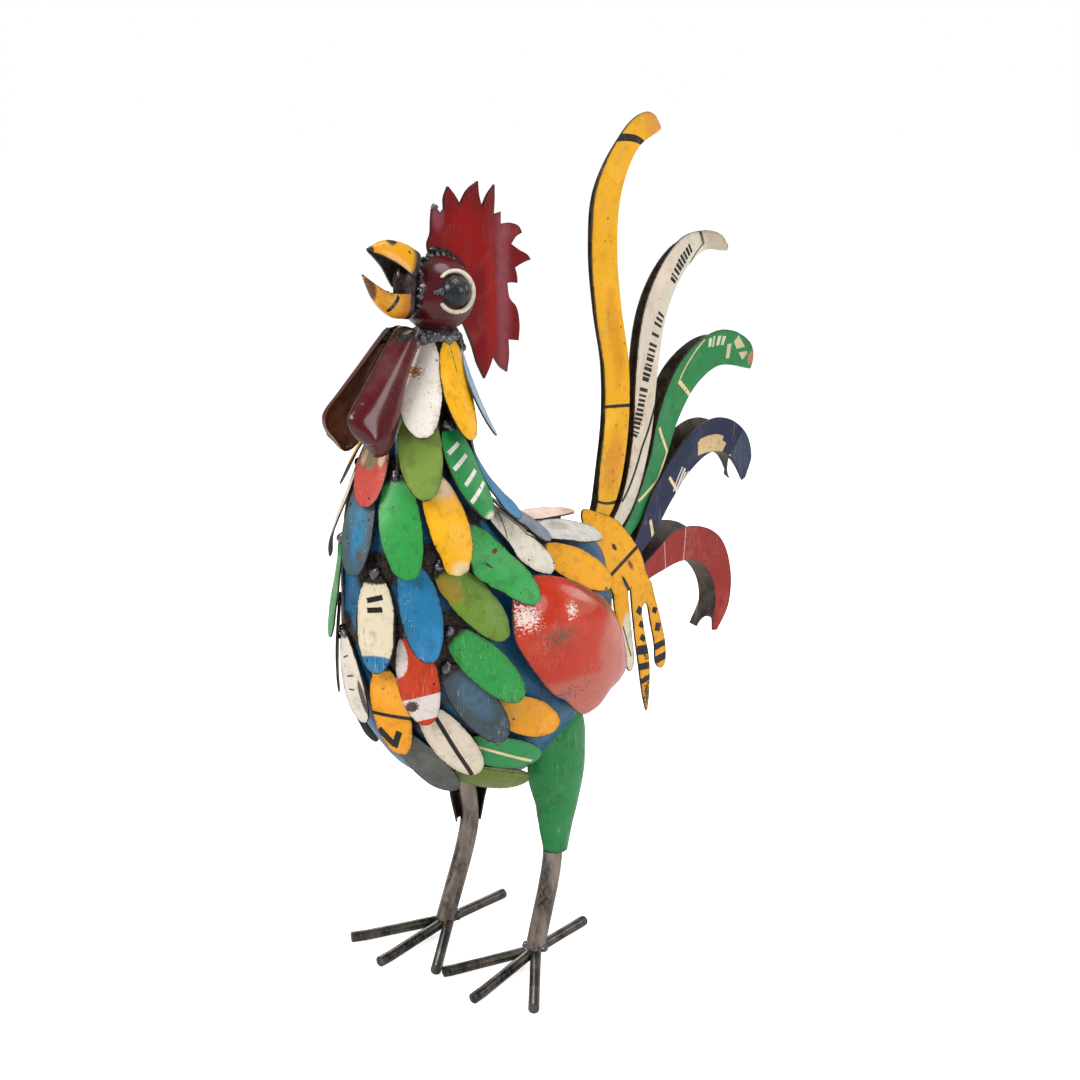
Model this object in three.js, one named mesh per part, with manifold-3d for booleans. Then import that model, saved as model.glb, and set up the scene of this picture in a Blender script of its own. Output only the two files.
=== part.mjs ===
// A standing rooster welded together from painted scrap sheet, rods and tubes.
// Millimetres, +Z up, the rooster faces -Y and its left side is +X.
import * as THREE from 'three';
import { mergeVertices } from 'three/addons/utils/BufferGeometryUtils.js';
import Module from 'manifold-3d';

const wasm = await Module();
wasm.setup();

// ---------------------------------------------------------------- driving dimensions
const GAP = 0.35; // clearance left where two pieces meet
const SHEET = 1.4; // thickness of the painted sheet
const PLATE = { length: 76, width: 32, thickness: 1.2, rootLift: 1.1, tipLift: 8.5, wrap: 0.6 };
const HEAD = { y: -52, z: 541, radius: 28.3 };
const MOUTH = { y: -69, z: 549, radii: [14, 16, 24] };
const EYE = { fromFront: 77, tilt: 9, ball: 11.3, ballOut: 23.6 }; // angles in degrees
const EYE_RING = { inner: 12.4, outer: 16.4, depth: 5, out: 22.4 };
const TUBE_RADIUS = 8;
const TOE = { radius: 4.3, front: 84, inner: 79, back: 70, spread: 34, hubHeight: 9, tipHeight: 3.5 };
const STANCE = 45; // each leg's distance from the middle plane

// Body sections: height, front, back and half width of each level oval.
const BODY = [
  [152, -2, 2, 1],
  [158, -38, 32, 25],
  [175, -78, 58, 48],
  [200, -103, 82, 66],
  [230, -121, 102, 78],
  [260, -131, 116, 82],
  [290, -136, 120, 80],
  [320, -138, 116, 74],
  [340, -138, 100, 68],
  [350, -137, 72, 64],
  [362, -135, 22, 60],
  [390, -128, -22, 50],
  [430, -114, -36, 38],
  [470, -92, -38, 27],
  [505, -73, -38, 18],
  [512, -70, -40, 15],
];
const BODY_LEVELS = [
  152, 155, 160, 168, 180, 200, 225, 255, 290, 320, 336, 346, 354, 362, 375, 395, 430, 470, 512,
];
const BODY_SIDES = 22;
const [BODY_BOTTOM, BODY_TOP] = [BODY_LEVELS[0], BODY_LEVELS.at(-1)];

// ---------------------------------------------------------------- paints and metals
function paint(color, roughness = 0.5, metalness = 0.1) {
  return new THREE.MeshStandardMaterial({ color, roughness, metalness });
}

const COLOURS = {
  cream: 0xe9dfcc,
  golden: 0xf6b81f,
  olive: 0x85a04b,
  green: 0x3fa455,
  teal: 0x4d6066,
  blue: 0x2a7fb8,
  pink: 0xc95a4e,
  slate: 0x4a5a60,
  navy: 0x1d2747,
  coral: 0xd9604f,
  tailRed: 0xa83a36,
  maroon: 0x5a1520,
  deepRed: 0x8b1016,
};
const BARE_STEEL = () => paint(0x6b625a, 0.55, 0.8);
const DARK_STEEL = () => paint(0x34363c, 0.4, 0.9);

// ---------------------------------------------------------------- solids
const root = new THREE.Group();

// Merges the shared points of a closed geometry and turns its faces outward.
function closed(geometry) {
  geometry.deleteAttribute('normal');
  geometry.deleteAttribute('uv');
  const merged = mergeVertices(geometry, 1e-3);
  const p = merged.attributes.position;
  const kept = [];
  let volume = 0;
  const a = new THREE.Vector3();
  const b = new THREE.Vector3();
  const c = new THREE.Vector3();
  for (let i = 0; i < merged.index.count; i += 3) {
    const [i0, i1, i2] = [0, 1, 2].map((k) => merged.index.getX(i + k));
    if (i0 === i1 || i1 === i2 || i2 === i0) continue;
    kept.push(i0, i1, i2);
    a.fromBufferAttribute(p, i0);
    b.fromBufferAttribute(p, i1);
    c.fromBufferAttribute(p, i2);
    volume += a.dot(b.cross(c));
  }
  merged.setIndex(volume < 0 ? kept.reverse() : kept);
  return merged;
}

function toManifold(geometry) {
  const { position } = geometry.attributes;
  const triVerts = Uint32Array.from(geometry.index.array);
  const vertProperties = Float32Array.from(position.array);
  return new wasm.Manifold(new wasm.Mesh({ numProp: 3, vertProperties, triVerts }));
}

function fromManifold(solid) {
  const mesh = solid.getMesh();
  const geometry = new THREE.BufferGeometry();
  geometry.setAttribute('position', new THREE.BufferAttribute(mesh.vertProperties, 3));
  geometry.setIndex(new THREE.BufferAttribute(mesh.triVerts, 1));
  return geometry;
}

function cut(geometry, ...tools) {
  let solid = toManifold(geometry);
  for (const tool of tools) solid = solid.subtract(toManifold(tool));
  return fromManifold(largest(solid));
}

function largest(solid) {
  const pieces = solid.decompose();
  pieces.sort((one, other) => other.volume() - one.volume());
  return pieces[0];
}

function join(geometries) {
  const [first, ...others] = geometries.map(toManifold);
  return fromManifold(others.reduce((sum, next) => sum.add(next), first));
}

function add(name, geometry, material) {
  const mesh = new THREE.Mesh(geometry, material);
  mesh.name = name;
  root.add(mesh);
  return mesh;
}

function mirrored(geometry) {
  return closed(geometry.clone().scale(-1, 1, 1));
}

// Moves every vertex of a closed geometry with place(x, y, z) -> Vector3.
function warp(geometry, place) {
  const p = geometry.attributes.position;
  for (let i = 0; i < p.count; i += 1) {
    const q = place(p.getX(i), p.getY(i), p.getZ(i));
    p.setXYZ(i, q.x, q.y, q.z);
  }
  return closed(geometry);
}

// A sheet of even thickness over surface(u, v), with u from -1 to 1 and v from 0 to 1.
function sheet(columns, rows, thickness, surface) {
  const h = 1e-3;
  return warp(new THREE.BoxGeometry(2, 1, 1, columns, rows, 1), (x, y, w) => {
    const v = y + 0.5;
    const point = surface(x, v);
    const du = surface(x + h, v).sub(surface(x - h, v));
    const dv = surface(x, v + h).sub(surface(x, v - h));
    const normal = du.cross(dv).normalize();
    return point.addScaledVector(normal, w * thickness);
  });
}

// A thin domed shell: rho runs from 0 in the middle to 1 on the rim, side is -1 inside or 1 outside.
function dome(outline, rings, place) {
  const count = outline.length;
  return warp(new THREE.SphereGeometry(1, count, rings * 2), (x, y, z) => {
    const rho = Math.min(1, Math.hypot(x, z));
    const turn = Math.atan2(z, -x) / (2 * Math.PI);
    const index = ((Math.round(turn * count) % count) + count) % count;
    const side = rho > 0.999 ? 0 : Math.sign(y);
    return place(outline[index], rho, side);
  });
}

// Monotone cubic through rows whose first number rises, as in BODY.
function between(rows, at, column) {
  const last = rows.length - 1;
  const x = THREE.MathUtils.clamp(at, rows[0][0], rows[last][0]);
  let i = 0;
  while (i < last - 1 && x > rows[i + 1][0]) i += 1;
  const step = (k) => rows[k + 1][0] - rows[k][0];
  const slope = (k) => (rows[k + 1][column] - rows[k][column]) / step(k);
  const tangent = (k) => {
    if (k === 0) return slope(0);
    if (k === last) return slope(last - 1);
    const [before, after] = [slope(k - 1), slope(k)];
    return before * after <= 0 ? 0 : (2 * before * after) / (before + after);
  };
  const h = step(i);
  const t = (x - rows[i][0]) / h;
  const [y0, y1, m0, m1] = [rows[i][column], rows[i + 1][column], tangent(i) * h, tangent(i + 1) * h];
  const start = (y0 * (1 + 2 * t) + m0 * t) * (1 - t) ** 2;
  const end = (y1 * (3 - 2 * t) + m1 * (t - 1)) * t * t;
  return start + end;
}

// ---------------------------------------------------------------- body and head
// angle is in degrees round the body, 0 at the breast and 90 on its left side
function bodyPoint(angle, z, offset = 0) {
  const [front, back, half] = [1, 2, 3].map((column) => between(BODY, z, column));
  const a = THREE.MathUtils.degToRad(angle);
  const length = (back - front) / 2 + offset;
  return new THREE.Vector3((half + offset) * Math.sin(a), (front + back) / 2 - length * Math.cos(a), z);
}

function bodySolid(offset = 0) {
  const levels = [BODY_BOTTOM - offset, ...BODY_LEVELS.slice(1, -1), BODY_TOP + offset];
  const rims = levels.map((level) => new THREE.Vector2(1, level));
  const profile = [new THREE.Vector2(0, levels[0]), ...rims, new THREE.Vector2(0, levels.at(-1))];
  return warp(new THREE.LatheGeometry(profile, BODY_SIDES), (x, z, y) => {
    const angle = THREE.MathUtils.radToDeg(Math.atan2(x, -y));
    const rim = bodyPoint(angle, z, offset);
    const middle = bodyPoint(0, z).add(bodyPoint(180, z)).multiplyScalar(0.5);
    const point = Math.hypot(x, y) > 0.5 ? rim : middle;
    point.z = z;
    return point;
  });
}

function ellipsoid(x, y, z, radii, offset = 0, across = 20, down = 12) {
  const [rx, ry, rz] = radii.map((r) => r + offset);
  return warp(new THREE.SphereGeometry(1, across, down), (px, py, pz) =>
    new THREE.Vector3(x + px * rx, y - pz * ry, z + py * rz));
}

const headBall = (offset = 0) => {
  const radii = [HEAD.radius, HEAD.radius, HEAD.radius];
  return ellipsoid(0, HEAD.y, HEAD.z, radii, offset, 20, 12);
};
const mouthBall = (offset = 0) => ellipsoid(0, MOUTH.y, MOUTH.z, MOUTH.radii, offset, 12, 6);
const clearOfBody = bodySolid(0.6);

const COMB_OUTLINE = [
  [-40, 545], [-59, 571], [-56, 602], [-43, 599], [-40, 616], [-28, 604], [-11, 620], [-7, 602],
  [9, 617], [8, 597], [18, 588], [30, 589], [44, 581], [33, 572], [53, 560], [38, 554], [27, 543],
  [36, 525], [28, 519], [37, 498], [25, 500], [26, 476], [5, 490], [-6, 475], [-16, 488], [-24, 513],
];

function upright(points, middle, thickness) {
  const shape = new THREE.Shape(points.map(([y, z]) => new THREE.Vector2(y, z)));
  const plate = new THREE.ExtrudeGeometry(shape, { depth: thickness, bevelEnabled: false });
  return warp(plate, (y, z, x) => new THREE.Vector3(middle + x - thickness / 2, y, z));
}

function buildBodyAndHead() {
  add('body', bodySolid(), paint(0x1f6a9a));
  add('head', headBall(), paint(COLOURS.maroon, 0.25));
  add('comb', cut(upright(COMB_OUTLINE, 0, 2.4), headBall(GAP)), paint(COLOURS.deepRed, 0.3));
  add('mouth', cut(mouthBall(), headBall(GAP), bodySolid(GAP)), DARK_STEEL());
}

// ---------------------------------------------------------------- beak
// Each half is a bent horn: ridge is its outer line, rim the middle between its two lower edges.
const BEAK = {
  upper_beak: {
    half: 15,
    ridge: [[-74, 573], [-88, 580], [-104, 582], [-119, 577]],
    rim: [[-86, 553], [-101, 567], [-118, 576]],
  },
  lower_beak: {
    half: 13,
    ridge: [[-84, 526], [-98, 529], [-112, 540], [-124, 560]],
    rim: [[-88, 545], [-106, 547], [-123, 559]],
  },
};

function planeCurve(points) {
  const places = points.map(([y, z]) => new THREE.Vector3(0, y, z));
  return new THREE.CatmullRomCurve3(places, false, 'centripetal');
}

function horn({ ridge, rim, half }) {
  const [ridgeLine, rimLine] = [planeCurve(ridge), planeCurve(rim)];
  return sheet(6, 5, SHEET, (u, v) => {
    const along = THREE.MathUtils.clamp(v, 0, 1);
    const bend = (u * Math.PI) / 2;
    const point = ridgeLine.getPoint(along).lerp(rimLine.getPoint(along), 1 - Math.cos(bend));
    point.x = half * (1 - 0.96 * along ** 1.3) * Math.sin(bend);
    return point;
  });
}

function buildBeak() {
  for (const [name, half] of Object.entries(BEAK)) {
    add(name, cut(horn(half), mouthBall(GAP), headBall(GAP)), paint(COLOURS.golden, 0.4));
  }
}

// ---------------------------------------------------------------- eyes
function crescent(inner, outer, depth) {
  const opening = 0.42; // radians on each side of the gap that points to the beak
  const shape = new THREE.Shape();
  shape.absarc(0, 0, outer, opening, 2 * Math.PI - opening, false);
  shape.absarc(0.8, 0.5, inner, 2 * Math.PI - opening * 1.25, opening * 1.25, true);
  return new THREE.ExtrudeGeometry(shape, { depth, bevelEnabled: false, curveSegments: 6 });
}

function buildEyes() {
  const a = THREE.MathUtils.degToRad(EYE.fromFront);
  const b = THREE.MathUtils.degToRad(EYE.tilt);
  const out = new THREE.Vector3(Math.sin(a) * Math.cos(b), -Math.cos(a) * Math.cos(b), Math.sin(b));
  const forward = new THREE.Vector3(-Math.cos(a), -Math.sin(a), 0);
  const up = forward.clone().cross(out);
  const centre = new THREE.Vector3(0, HEAD.y, HEAD.z);
  const flatRing = crescent(EYE_RING.inner, EYE_RING.outer, EYE_RING.depth);
  const ring = warp(flatRing, (x, y, z) => centre.clone()
    .addScaledVector(forward, x)
    .addScaledVector(up, -y)
    .addScaledVector(out, EYE_RING.out + z));
  const ballAt = centre.clone().addScaledVector(out, EYE.ballOut);
  const ball = ellipsoid(ballAt.x, ballAt.y, ballAt.z, [EYE.ball, EYE.ball, EYE.ball], 0, 12, 8);
  const parts = { eye_ring: [ring, COLOURS.cream], eyeball: [ball, 0x3a4450] };
  for (const [name, [solid, colour]] of Object.entries(parts)) {
    const trimmed = cut(solid, headBall(GAP));
    add(`left_${name}`, trimmed, paint(colour, 0.35, 0.3));
    add(`right_${name}`, mirrored(trimmed), paint(colour, 0.35, 0.3));
  }
}

// ---------------------------------------------------------------- wattles and wings
const WATTLE_OUTLINE = [
  [-94, 521], [-103, 514], [-121, 496], [-138, 479], [-151, 465], [-150, 455], [-140, 444], [-130, 434],
  [-120, 437], [-110, 452], [-101, 473], [-92, 491], [-79, 511], [-84, 520],
];
const WING_OUTLINE = [
  [-67, 304], [-59, 316], [-44, 328], [-28, 336], [-9, 329], [10, 315], [33, 303], [56, 288], [73, 266],
  [79, 252], [92, 233], [83, 229], [73, 225], [59, 220], [46, 226], [30, 223], [18, 226], [8, 221],
  [-9, 228], [-24, 237], [-40, 250], [-54, 267], [-61, 286],
];

function middleOf(outline) {
  const sum = outline.reduce(([a, b], [y, z]) => [a + y, b + z], [0, 0]);
  return sum.map((total) => total / outline.length);
}

function shellOver(outline, rings, thickness, across) {
  const [y0, z0] = middleOf(outline);
  return dome(outline, rings, ([y, z], rho, side) => {
    const point = new THREE.Vector3(0, y0 + (y - y0) * rho, z0 + (z - z0) * rho);
    point.x = across(point.y, point.z, rho) + (side * thickness) / 2;
    return point;
  });
}

const wattleAcross = (y, z, rho) => 3 + (524 - z) * 0.16 + 7 * (1 - rho ** 2);
const wingAcross = (y, z, rho) => 83 - 0.0012 * (y + 30) ** 2 + 20 * (1 - rho ** 2) ** 0.9;

function buildShells() {
  const wattle = cut(shellOver(WATTLE_OUTLINE, 2, SHEET, wattleAcross), headBall(GAP), clearOfBody);
  const wing = cut(shellOver(WING_OUTLINE, 3, SHEET, wingAcross), clearOfBody);
  const pairs = { wattle: [wattle, COLOURS.maroon], wing: [wing, COLOURS.coral] };
  for (const [name, [solid, colour]] of Object.entries(pairs)) {
    add(`left_${name}`, solid, paint(colour, 0.25));
    add(`right_${name}`, mirrored(solid), paint(colour, 0.25));
  }
}

// ---------------------------------------------------------------- saddle over the rump
const SADDLE_OUTLINE = [
  [90, 358], [104, 354], [119, 346], [126, 335], [130, 318], [126, 303], [129, 290], [139, 264], [147, 237],
  [146, 222], [140, 220], [134, 226], [132, 242], [126, 263], [120, 281], [115, 279], [118, 258], [125, 232],
  [126, 207], [123, 187], [118, 199], [111, 231], [105, 257], [99, 279], [96, 271], [103, 249], [105, 232],
  [100, 227], [95, 234], [90, 252], [83, 273], [78, 293], [83, 313], [85, 331], [85, 348],
];

const SADDLE = { foldHeight: 345, foldAt: 30, upperSlope: 0.8, lowerSlope: 0.66, nearest: 18, farthest: 62 };
const RIGHT_SADDLE_TOP = 342; // the right one stops here, so that the two don't cross on the back

function saddleSolid() {
  const flat = upright(SADDLE_OUTLINE, 0, SHEET);
  return warp(flat, (x, y, z) => {
    const slope = z < SADDLE.foldHeight ? SADDLE.lowerSlope : SADDLE.upperSlope;
    const spread = SADDLE.foldAt + slope * (SADDLE.foldHeight - z);
    return new THREE.Vector3(THREE.MathUtils.clamp(spread, SADDLE.nearest, SADDLE.farthest) + x, y, z);
  });
}

function buildSaddles() {
  const saddle = cut(saddleSolid(), clearOfBody);
  add('left_saddle', saddle, paint(COLOURS.golden));
  const lowered = cut(saddle, slab(RIGHT_SADDLE_TOP, BODY_TOP));
  add('right_saddle', mirrored(lowered), paint(COLOURS.golden));
}

// ---------------------------------------------------------------- tail
// A bent channel: its spine (y, z), the depth of its near flange at shares of its length, the far
// flange's share of that depth, how far apart they open, and how far the spine stops short of the tip.
const TAIL = {
  yellow: {
    colour: COLOURS.golden, open: 12, far: 0.5, notch: 0,
    depths: [[0, 12], [0.22, 38], [0.7, 39], [0.85, 26], [1, 3]],
    spine: [
      [116, 326], [138, 350], [158, 405], [163, 465], [154, 515],
      [148, 560], [152, 605], [174, 641], [205, 656],
    ],
  },
  white: {
    colour: COLOURS.cream, open: 11, far: 0.65, notch: 0,
    depths: [[0, 9], [0.15, 17], [0.35, 29], [0.5, 37], [0.8, 33], [0.92, 20], [1, 3]],
    spine: [[128, 312], [158, 345], [190, 400], [202, 455], [215, 504], [238, 537], [268, 554], [303, 552]],
  },
  green: {
    colour: COLOURS.green, open: 14, far: 0.8, notch: 0,
    depths: [[0, 9], [0.16, 15], [0.4, 28], [0.55, 35], [0.8, 31], [0.93, 22], [1, 4]],
    spine: [[134, 300], [172, 330], [212, 375], [232, 408], [257, 436], [290, 451], [318, 449], [344, 443]],
  },
  navy: {
    colour: COLOURS.navy, open: 17, far: 0.75, notch: 0.12,
    depths: [[0, 9], [0.18, 17], [0.4, 30], [0.7, 31], [0.86, 21], [1, 2]],
    spine: [[138, 284], [175, 294], [201, 312], [228, 340], [256, 363], [286, 374], [314, 366], [334, 340]],
  },
  red: {
    colour: COLOURS.tailRed, open: 19, far: 0.85, notch: 0.12,
    depths: [[0, 9], [0.2, 17], [0.4, 31], [0.6, 28], [0.75, 17], [0.9, 12], [1, 2]],
    spine: [[136, 268], [175, 270], [212, 277], [245, 281], [272, 274], [291, 256], [298, 236], [294, 204]],
  },
};
const TAIL_WEB = 4; // half width of the flat back of the channel

function tailFeather({ depths, open, far, notch, spine }) {
  const line = planeCurve(spine);
  const fullDepth = Math.max(...depths.map((row) => row[1]));
  return sheet(3, 11, SHEET, (u, v) => {
    const edge = THREE.MathUtils.clamp((Math.abs(u) * 3 - 1) / 2, 0, 1);
    const t = THREE.MathUtils.clamp(v * (1 - notch * (1 - edge)), 0, 1);
    const point = line.getPoint(t);
    const tangent = line.getTangent(t);
    const depth = between(depths, t, 1);
    const reach = edge * depth * (u < 0 ? far : 1);
    point.y -= tangent.z * reach;
    point.z += tangent.y * reach;
    point.x = Math.sign(u) * THREE.MathUtils.lerp(TAIL_WEB, open, edge) * (0.4 + (0.6 * depth) / fullDepth);
    return point;
  });
}

function buildTail() {
  for (const [name, feather] of Object.entries(TAIL)) {
    add(`${name}_tail_feather`, cut(tailFeather(feather), clearOfBody), paint(feather.colour));
  }
}

// ---------------------------------------------------------------- legs and feet
// Places along a leg: out from the stance, y from its hub, height.
const LEG_PATH = [[0, -1.6, 8.2], [0, 23.3, 90], [-1, 15.3, 128], [-4, 15.3, 196]];
const THIGH = [
  // height, middle y, half width along Y, depth across X
  [86, 28, 10.4, 10],
  [108, 27, 14.5, 12.5],
  [130, 28.5, 19.5, 15.5],
  [169, 27, 28, 20],
  [205, 26, 30, 22],
];
// y is the hub's place, turn how far the middle toe turns to +X, knee the shift of the leg above the hub.
const FEET = {
  left: { side: 1, y: 4.7, turn: 7, knee: 0 },
  right: { side: -1, y: -4.7, turn: 3, knee: 3.4 },
};

function tube(path, radius, steps, sides) {
  const shape = new THREE.Shape();
  shape.absarc(0, 0, radius, 0, 2 * Math.PI, false);
  const options = { steps, extrudePath: path, curveSegments: sides, bevelEnabled: false };
  return closed(new THREE.ExtrudeGeometry(shape, options));
}

// A block wider than the rooster between two heights, to cut level ends with.
function slab(low, high) {
  const block = new THREE.BoxGeometry(800, 800, high - low);
  return closed(block.translate(0, 0, (low + high) / 2));
}

function thigh(clear) {
  const shell = sheet(6, 3, SHEET, (u, v) => {
    const z = THREE.MathUtils.lerp(THIGH[0][0], THIGH.at(-1)[0], v);
    const [y, half, bulge] = [1, 2, 3].map((column) => between(THIGH, z, column));
    const turn = u * THREE.MathUtils.degToRad(100);
    return new THREE.Vector3(STANCE + bulge * Math.cos(turn), y + half * Math.sin(turn), z);
  });
  return cut(shell, clearOfBody, clear);
}

function toe(hub, direction, from, to, offset = 0) {
  const slope = (TOE.tipHeight - TOE.hubHeight) / TOE.front;
  const [start, end] = [from, to].map((reach) => {
    const place = hub.clone().addScaledVector(direction, reach);
    return new THREE.Vector3(place.x, place.y, TOE.hubHeight + slope * Math.abs(reach));
  });
  return tube(new THREE.LineCurve3(start, end), TOE.radius + offset, 1, 4);
}

function heading(degrees) {
  const a = THREE.MathUtils.degToRad(degrees);
  return new THREE.Vector2(Math.sin(a), -Math.cos(a));
}

function buildLeg(name, foot) {
  const places = LEG_PATH.map(([x, y, z], i) => {
    const shift = i === 0 ? 0 : foot.knee;
    return new THREE.Vector3(foot.side * (STANCE + x), foot.y + y + shift, z);
  });
  const path = new THREE.CatmullRomCurve3(places, false, 'catmullrom', 0.15);
  const footSpace = slab(-50, TOE.hubHeight + TOE.radius + GAP);
  add(`${name}_leg`, cut(tube(path, TUBE_RADIUS, 8, 5), footSpace, clearOfBody), BARE_STEEL());
  const clear = tube(path, TUBE_RADIUS + GAP, 8, 5);
  const shell = foot.side > 0 ? thigh(clear) : mirrored(thigh(mirrored(clear)));
  add(`${name}_thigh`, shell, paint(0x2f8a4a));
}

function buildToes(name, foot) {
  const ground = slab(-50, 0);
  const hub = new THREE.Vector2(foot.side * STANCE, foot.y);
  const middle = [hub, heading(foot.turn), -5, TOE.front];
  const back = [hub, heading(foot.turn + 180), 6, TOE.back];
  add(`${name}_middle_toe`, cut(toe(...middle), ground), BARE_STEEL());
  add(`${name}_back_toe`, cut(toe(...back), ground), BARE_STEEL());
  const keepOff = [toe(...middle, GAP), toe(...back, GAP)];
  const sideways = { inner: [-foot.side, TOE.inner], outer: [foot.side, TOE.front] };
  for (const [label, [side, length]] of Object.entries(sideways)) {
    const splayed = toe(hub, heading(foot.turn + side * TOE.spread), 3, length);
    add(`${name}_${label}_toe`, cut(splayed, ground, ...keepOff), BARE_STEEL());
  }
}

function buildLegs() {
  for (const [name, foot] of Object.entries(FEET)) {
    buildLeg(name, foot);
    buildToes(name, foot);
  }
}

// ---------------------------------------------------------------- plate feathers
// Tangent frame of the body at (angle, z): point, outward normal and the two surface directions.
function bodyFrame(angle, z) {
  const half = 0.5;
  const [low, high] = [Math.max(BODY_BOTTOM, z - half), Math.min(BODY_TOP, z + half)];
  const alongAngle = bodyPoint(angle + half, z).sub(bodyPoint(angle - half, z)).divideScalar(2 * half);
  const alongHeight = bodyPoint(angle, high).sub(bodyPoint(angle, low)).divideScalar(high - low);
  const normal = alongAngle.clone().cross(alongHeight).normalize();
  const up = new THREE.Vector3(0, 0, 1).projectOnPlane(normal).normalize();
  const forward = normal.clone().cross(up);
  return { point: bodyPoint(angle, z), normal, alongAngle, alongHeight, up, forward };
}

// The change of [angle, z] that moves a surface point by the tangent vector step.
function surfaceStep({ alongAngle, alongHeight }, step) {
  const [aa, ah] = [alongAngle.dot(alongAngle), alongAngle.dot(alongHeight)];
  const hh = alongHeight.dot(alongHeight);
  const [sa, sh] = [alongAngle.dot(step), alongHeight.dot(step)];
  const det = aa * hh - ah * ah;
  return [(sa * hh - sh * ah) / det, (sh * aa - sa * ah) / det];
}

const onBody = (z) => THREE.MathUtils.clamp(z, BODY_BOTTOM + 1, BODY_TOP - 1);

// Places on the body under a plate, from its hanging tip up to its welded root.
function climb([angle, z, lean], length) {
  const steps = 12;
  const places = [[angle, z]];
  for (let i = 0; i < steps; i += 1) {
    const frame = bodyFrame(...places[i]);
    const a = THREE.MathUtils.degToRad(lean);
    const step = frame.up.clone().multiplyScalar(Math.cos(a)).addScaledVector(frame.forward, Math.sin(a));
    const [da, dz] = surfaceStep(frame, step.multiplyScalar(length / steps));
    places.push([places[i][0] + da, onBody(places[i][1] + dz)]);
  }
  return places;
}

const BEAD_RADIUS = 5;
const lift = (v, raise = 0) => PLATE.rootLift + (PLATE.tipLift + raise) * v ** 1.2;

// v runs from 0 at the root to 1 at the tip
function placeAt(places, v) {
  const t = THREE.MathUtils.clamp(1 - v, 0, 1) * (places.length - 1);
  const i = Math.min(places.length - 2, Math.floor(t));
  return [0, 1].map((k) => THREE.MathUtils.lerp(places[i][k], places[i + 1][k], t - i));
}

function plateSurface(plate) {
  const places = climb(plate.tip, plate.length ?? PLATE.length);
  return (u, v) => {
    const swing = 0.08 + 0.84 * THREE.MathUtils.clamp(v, -0.01, 1.01);
    const t = 0.5 - 0.5 * Math.cos(Math.PI * swing);
    const [angle, z] = placeAt(places, t);
    const frame = bodyFrame(angle, z);
    const ahead = bodyPoint(...placeAt(places, Math.min(1, t + 0.05)));
    const behind = bodyPoint(...placeAt(places, Math.max(0, t - 0.05)));
    const across = ahead.sub(behind).cross(frame.normal).normalize();
    const half = ((plate.width ?? PLATE.width) / 2) * Math.sin(Math.PI * swing) ** 0.75;
    const side = across.multiplyScalar(-half * u);
    const [da, dz] = surfaceStep(frame, side);
    const round = bodyFrame(angle + da, onBody(z + dz));
    const height = lift(t, plate.raise);
    const wrapped = round.point.addScaledVector(round.normal, height);
    const flat = frame.point.clone().add(side).addScaledVector(frame.normal, height);
    return flat.lerp(wrapped, PLATE.wrap);
  };
}

const plateSolid = (plate) => sheet(2, 4, PLATE.thickness, plateSurface(plate));

// A weld bead where two plates of a column lie closest over one another.
function bead(lower, upper) {
  const [below, above] = [lower, upper].map(({ tip, length }) => climb(tip, length));
  const shares = [0.1, 0.2, 0.35, 0.5, 0.65, 0.8, 0.9];
  let best = { distance: Infinity };
  for (const one of shares) {
    for (const other of shares) {
      const [p, q] = [bodyPoint(...placeAt(below, one)), bodyPoint(...placeAt(above, other))];
      const distance = p.distanceTo(q);
      if (distance < best.distance) best = { distance, one, other };
    }
  }
  const [a, b] = [placeAt(below, best.one), placeAt(above, best.other)];
  const frame = bodyFrame((a[0] + b[0]) / 2, (a[1] + b[1]) / 2);
  const heights = [lift(best.one, lower.raise), lift(best.other, upper.raise)];
  const half = Math.abs(heights[0] - heights[1]) / 2 + PLATE.thickness;
  const centre = frame.point.addScaledVector(frame.normal, (heights[0] + heights[1]) / 2);
  return warp(new THREE.IcosahedronGeometry(1, 0), (x, y, z) => centre.clone()
    .addScaledVector(frame.forward, x * BEAD_RADIUS)
    .addScaledVector(frame.up, y * BEAD_RADIUS)
    .addScaledVector(frame.normal, z * half));
}

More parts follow.
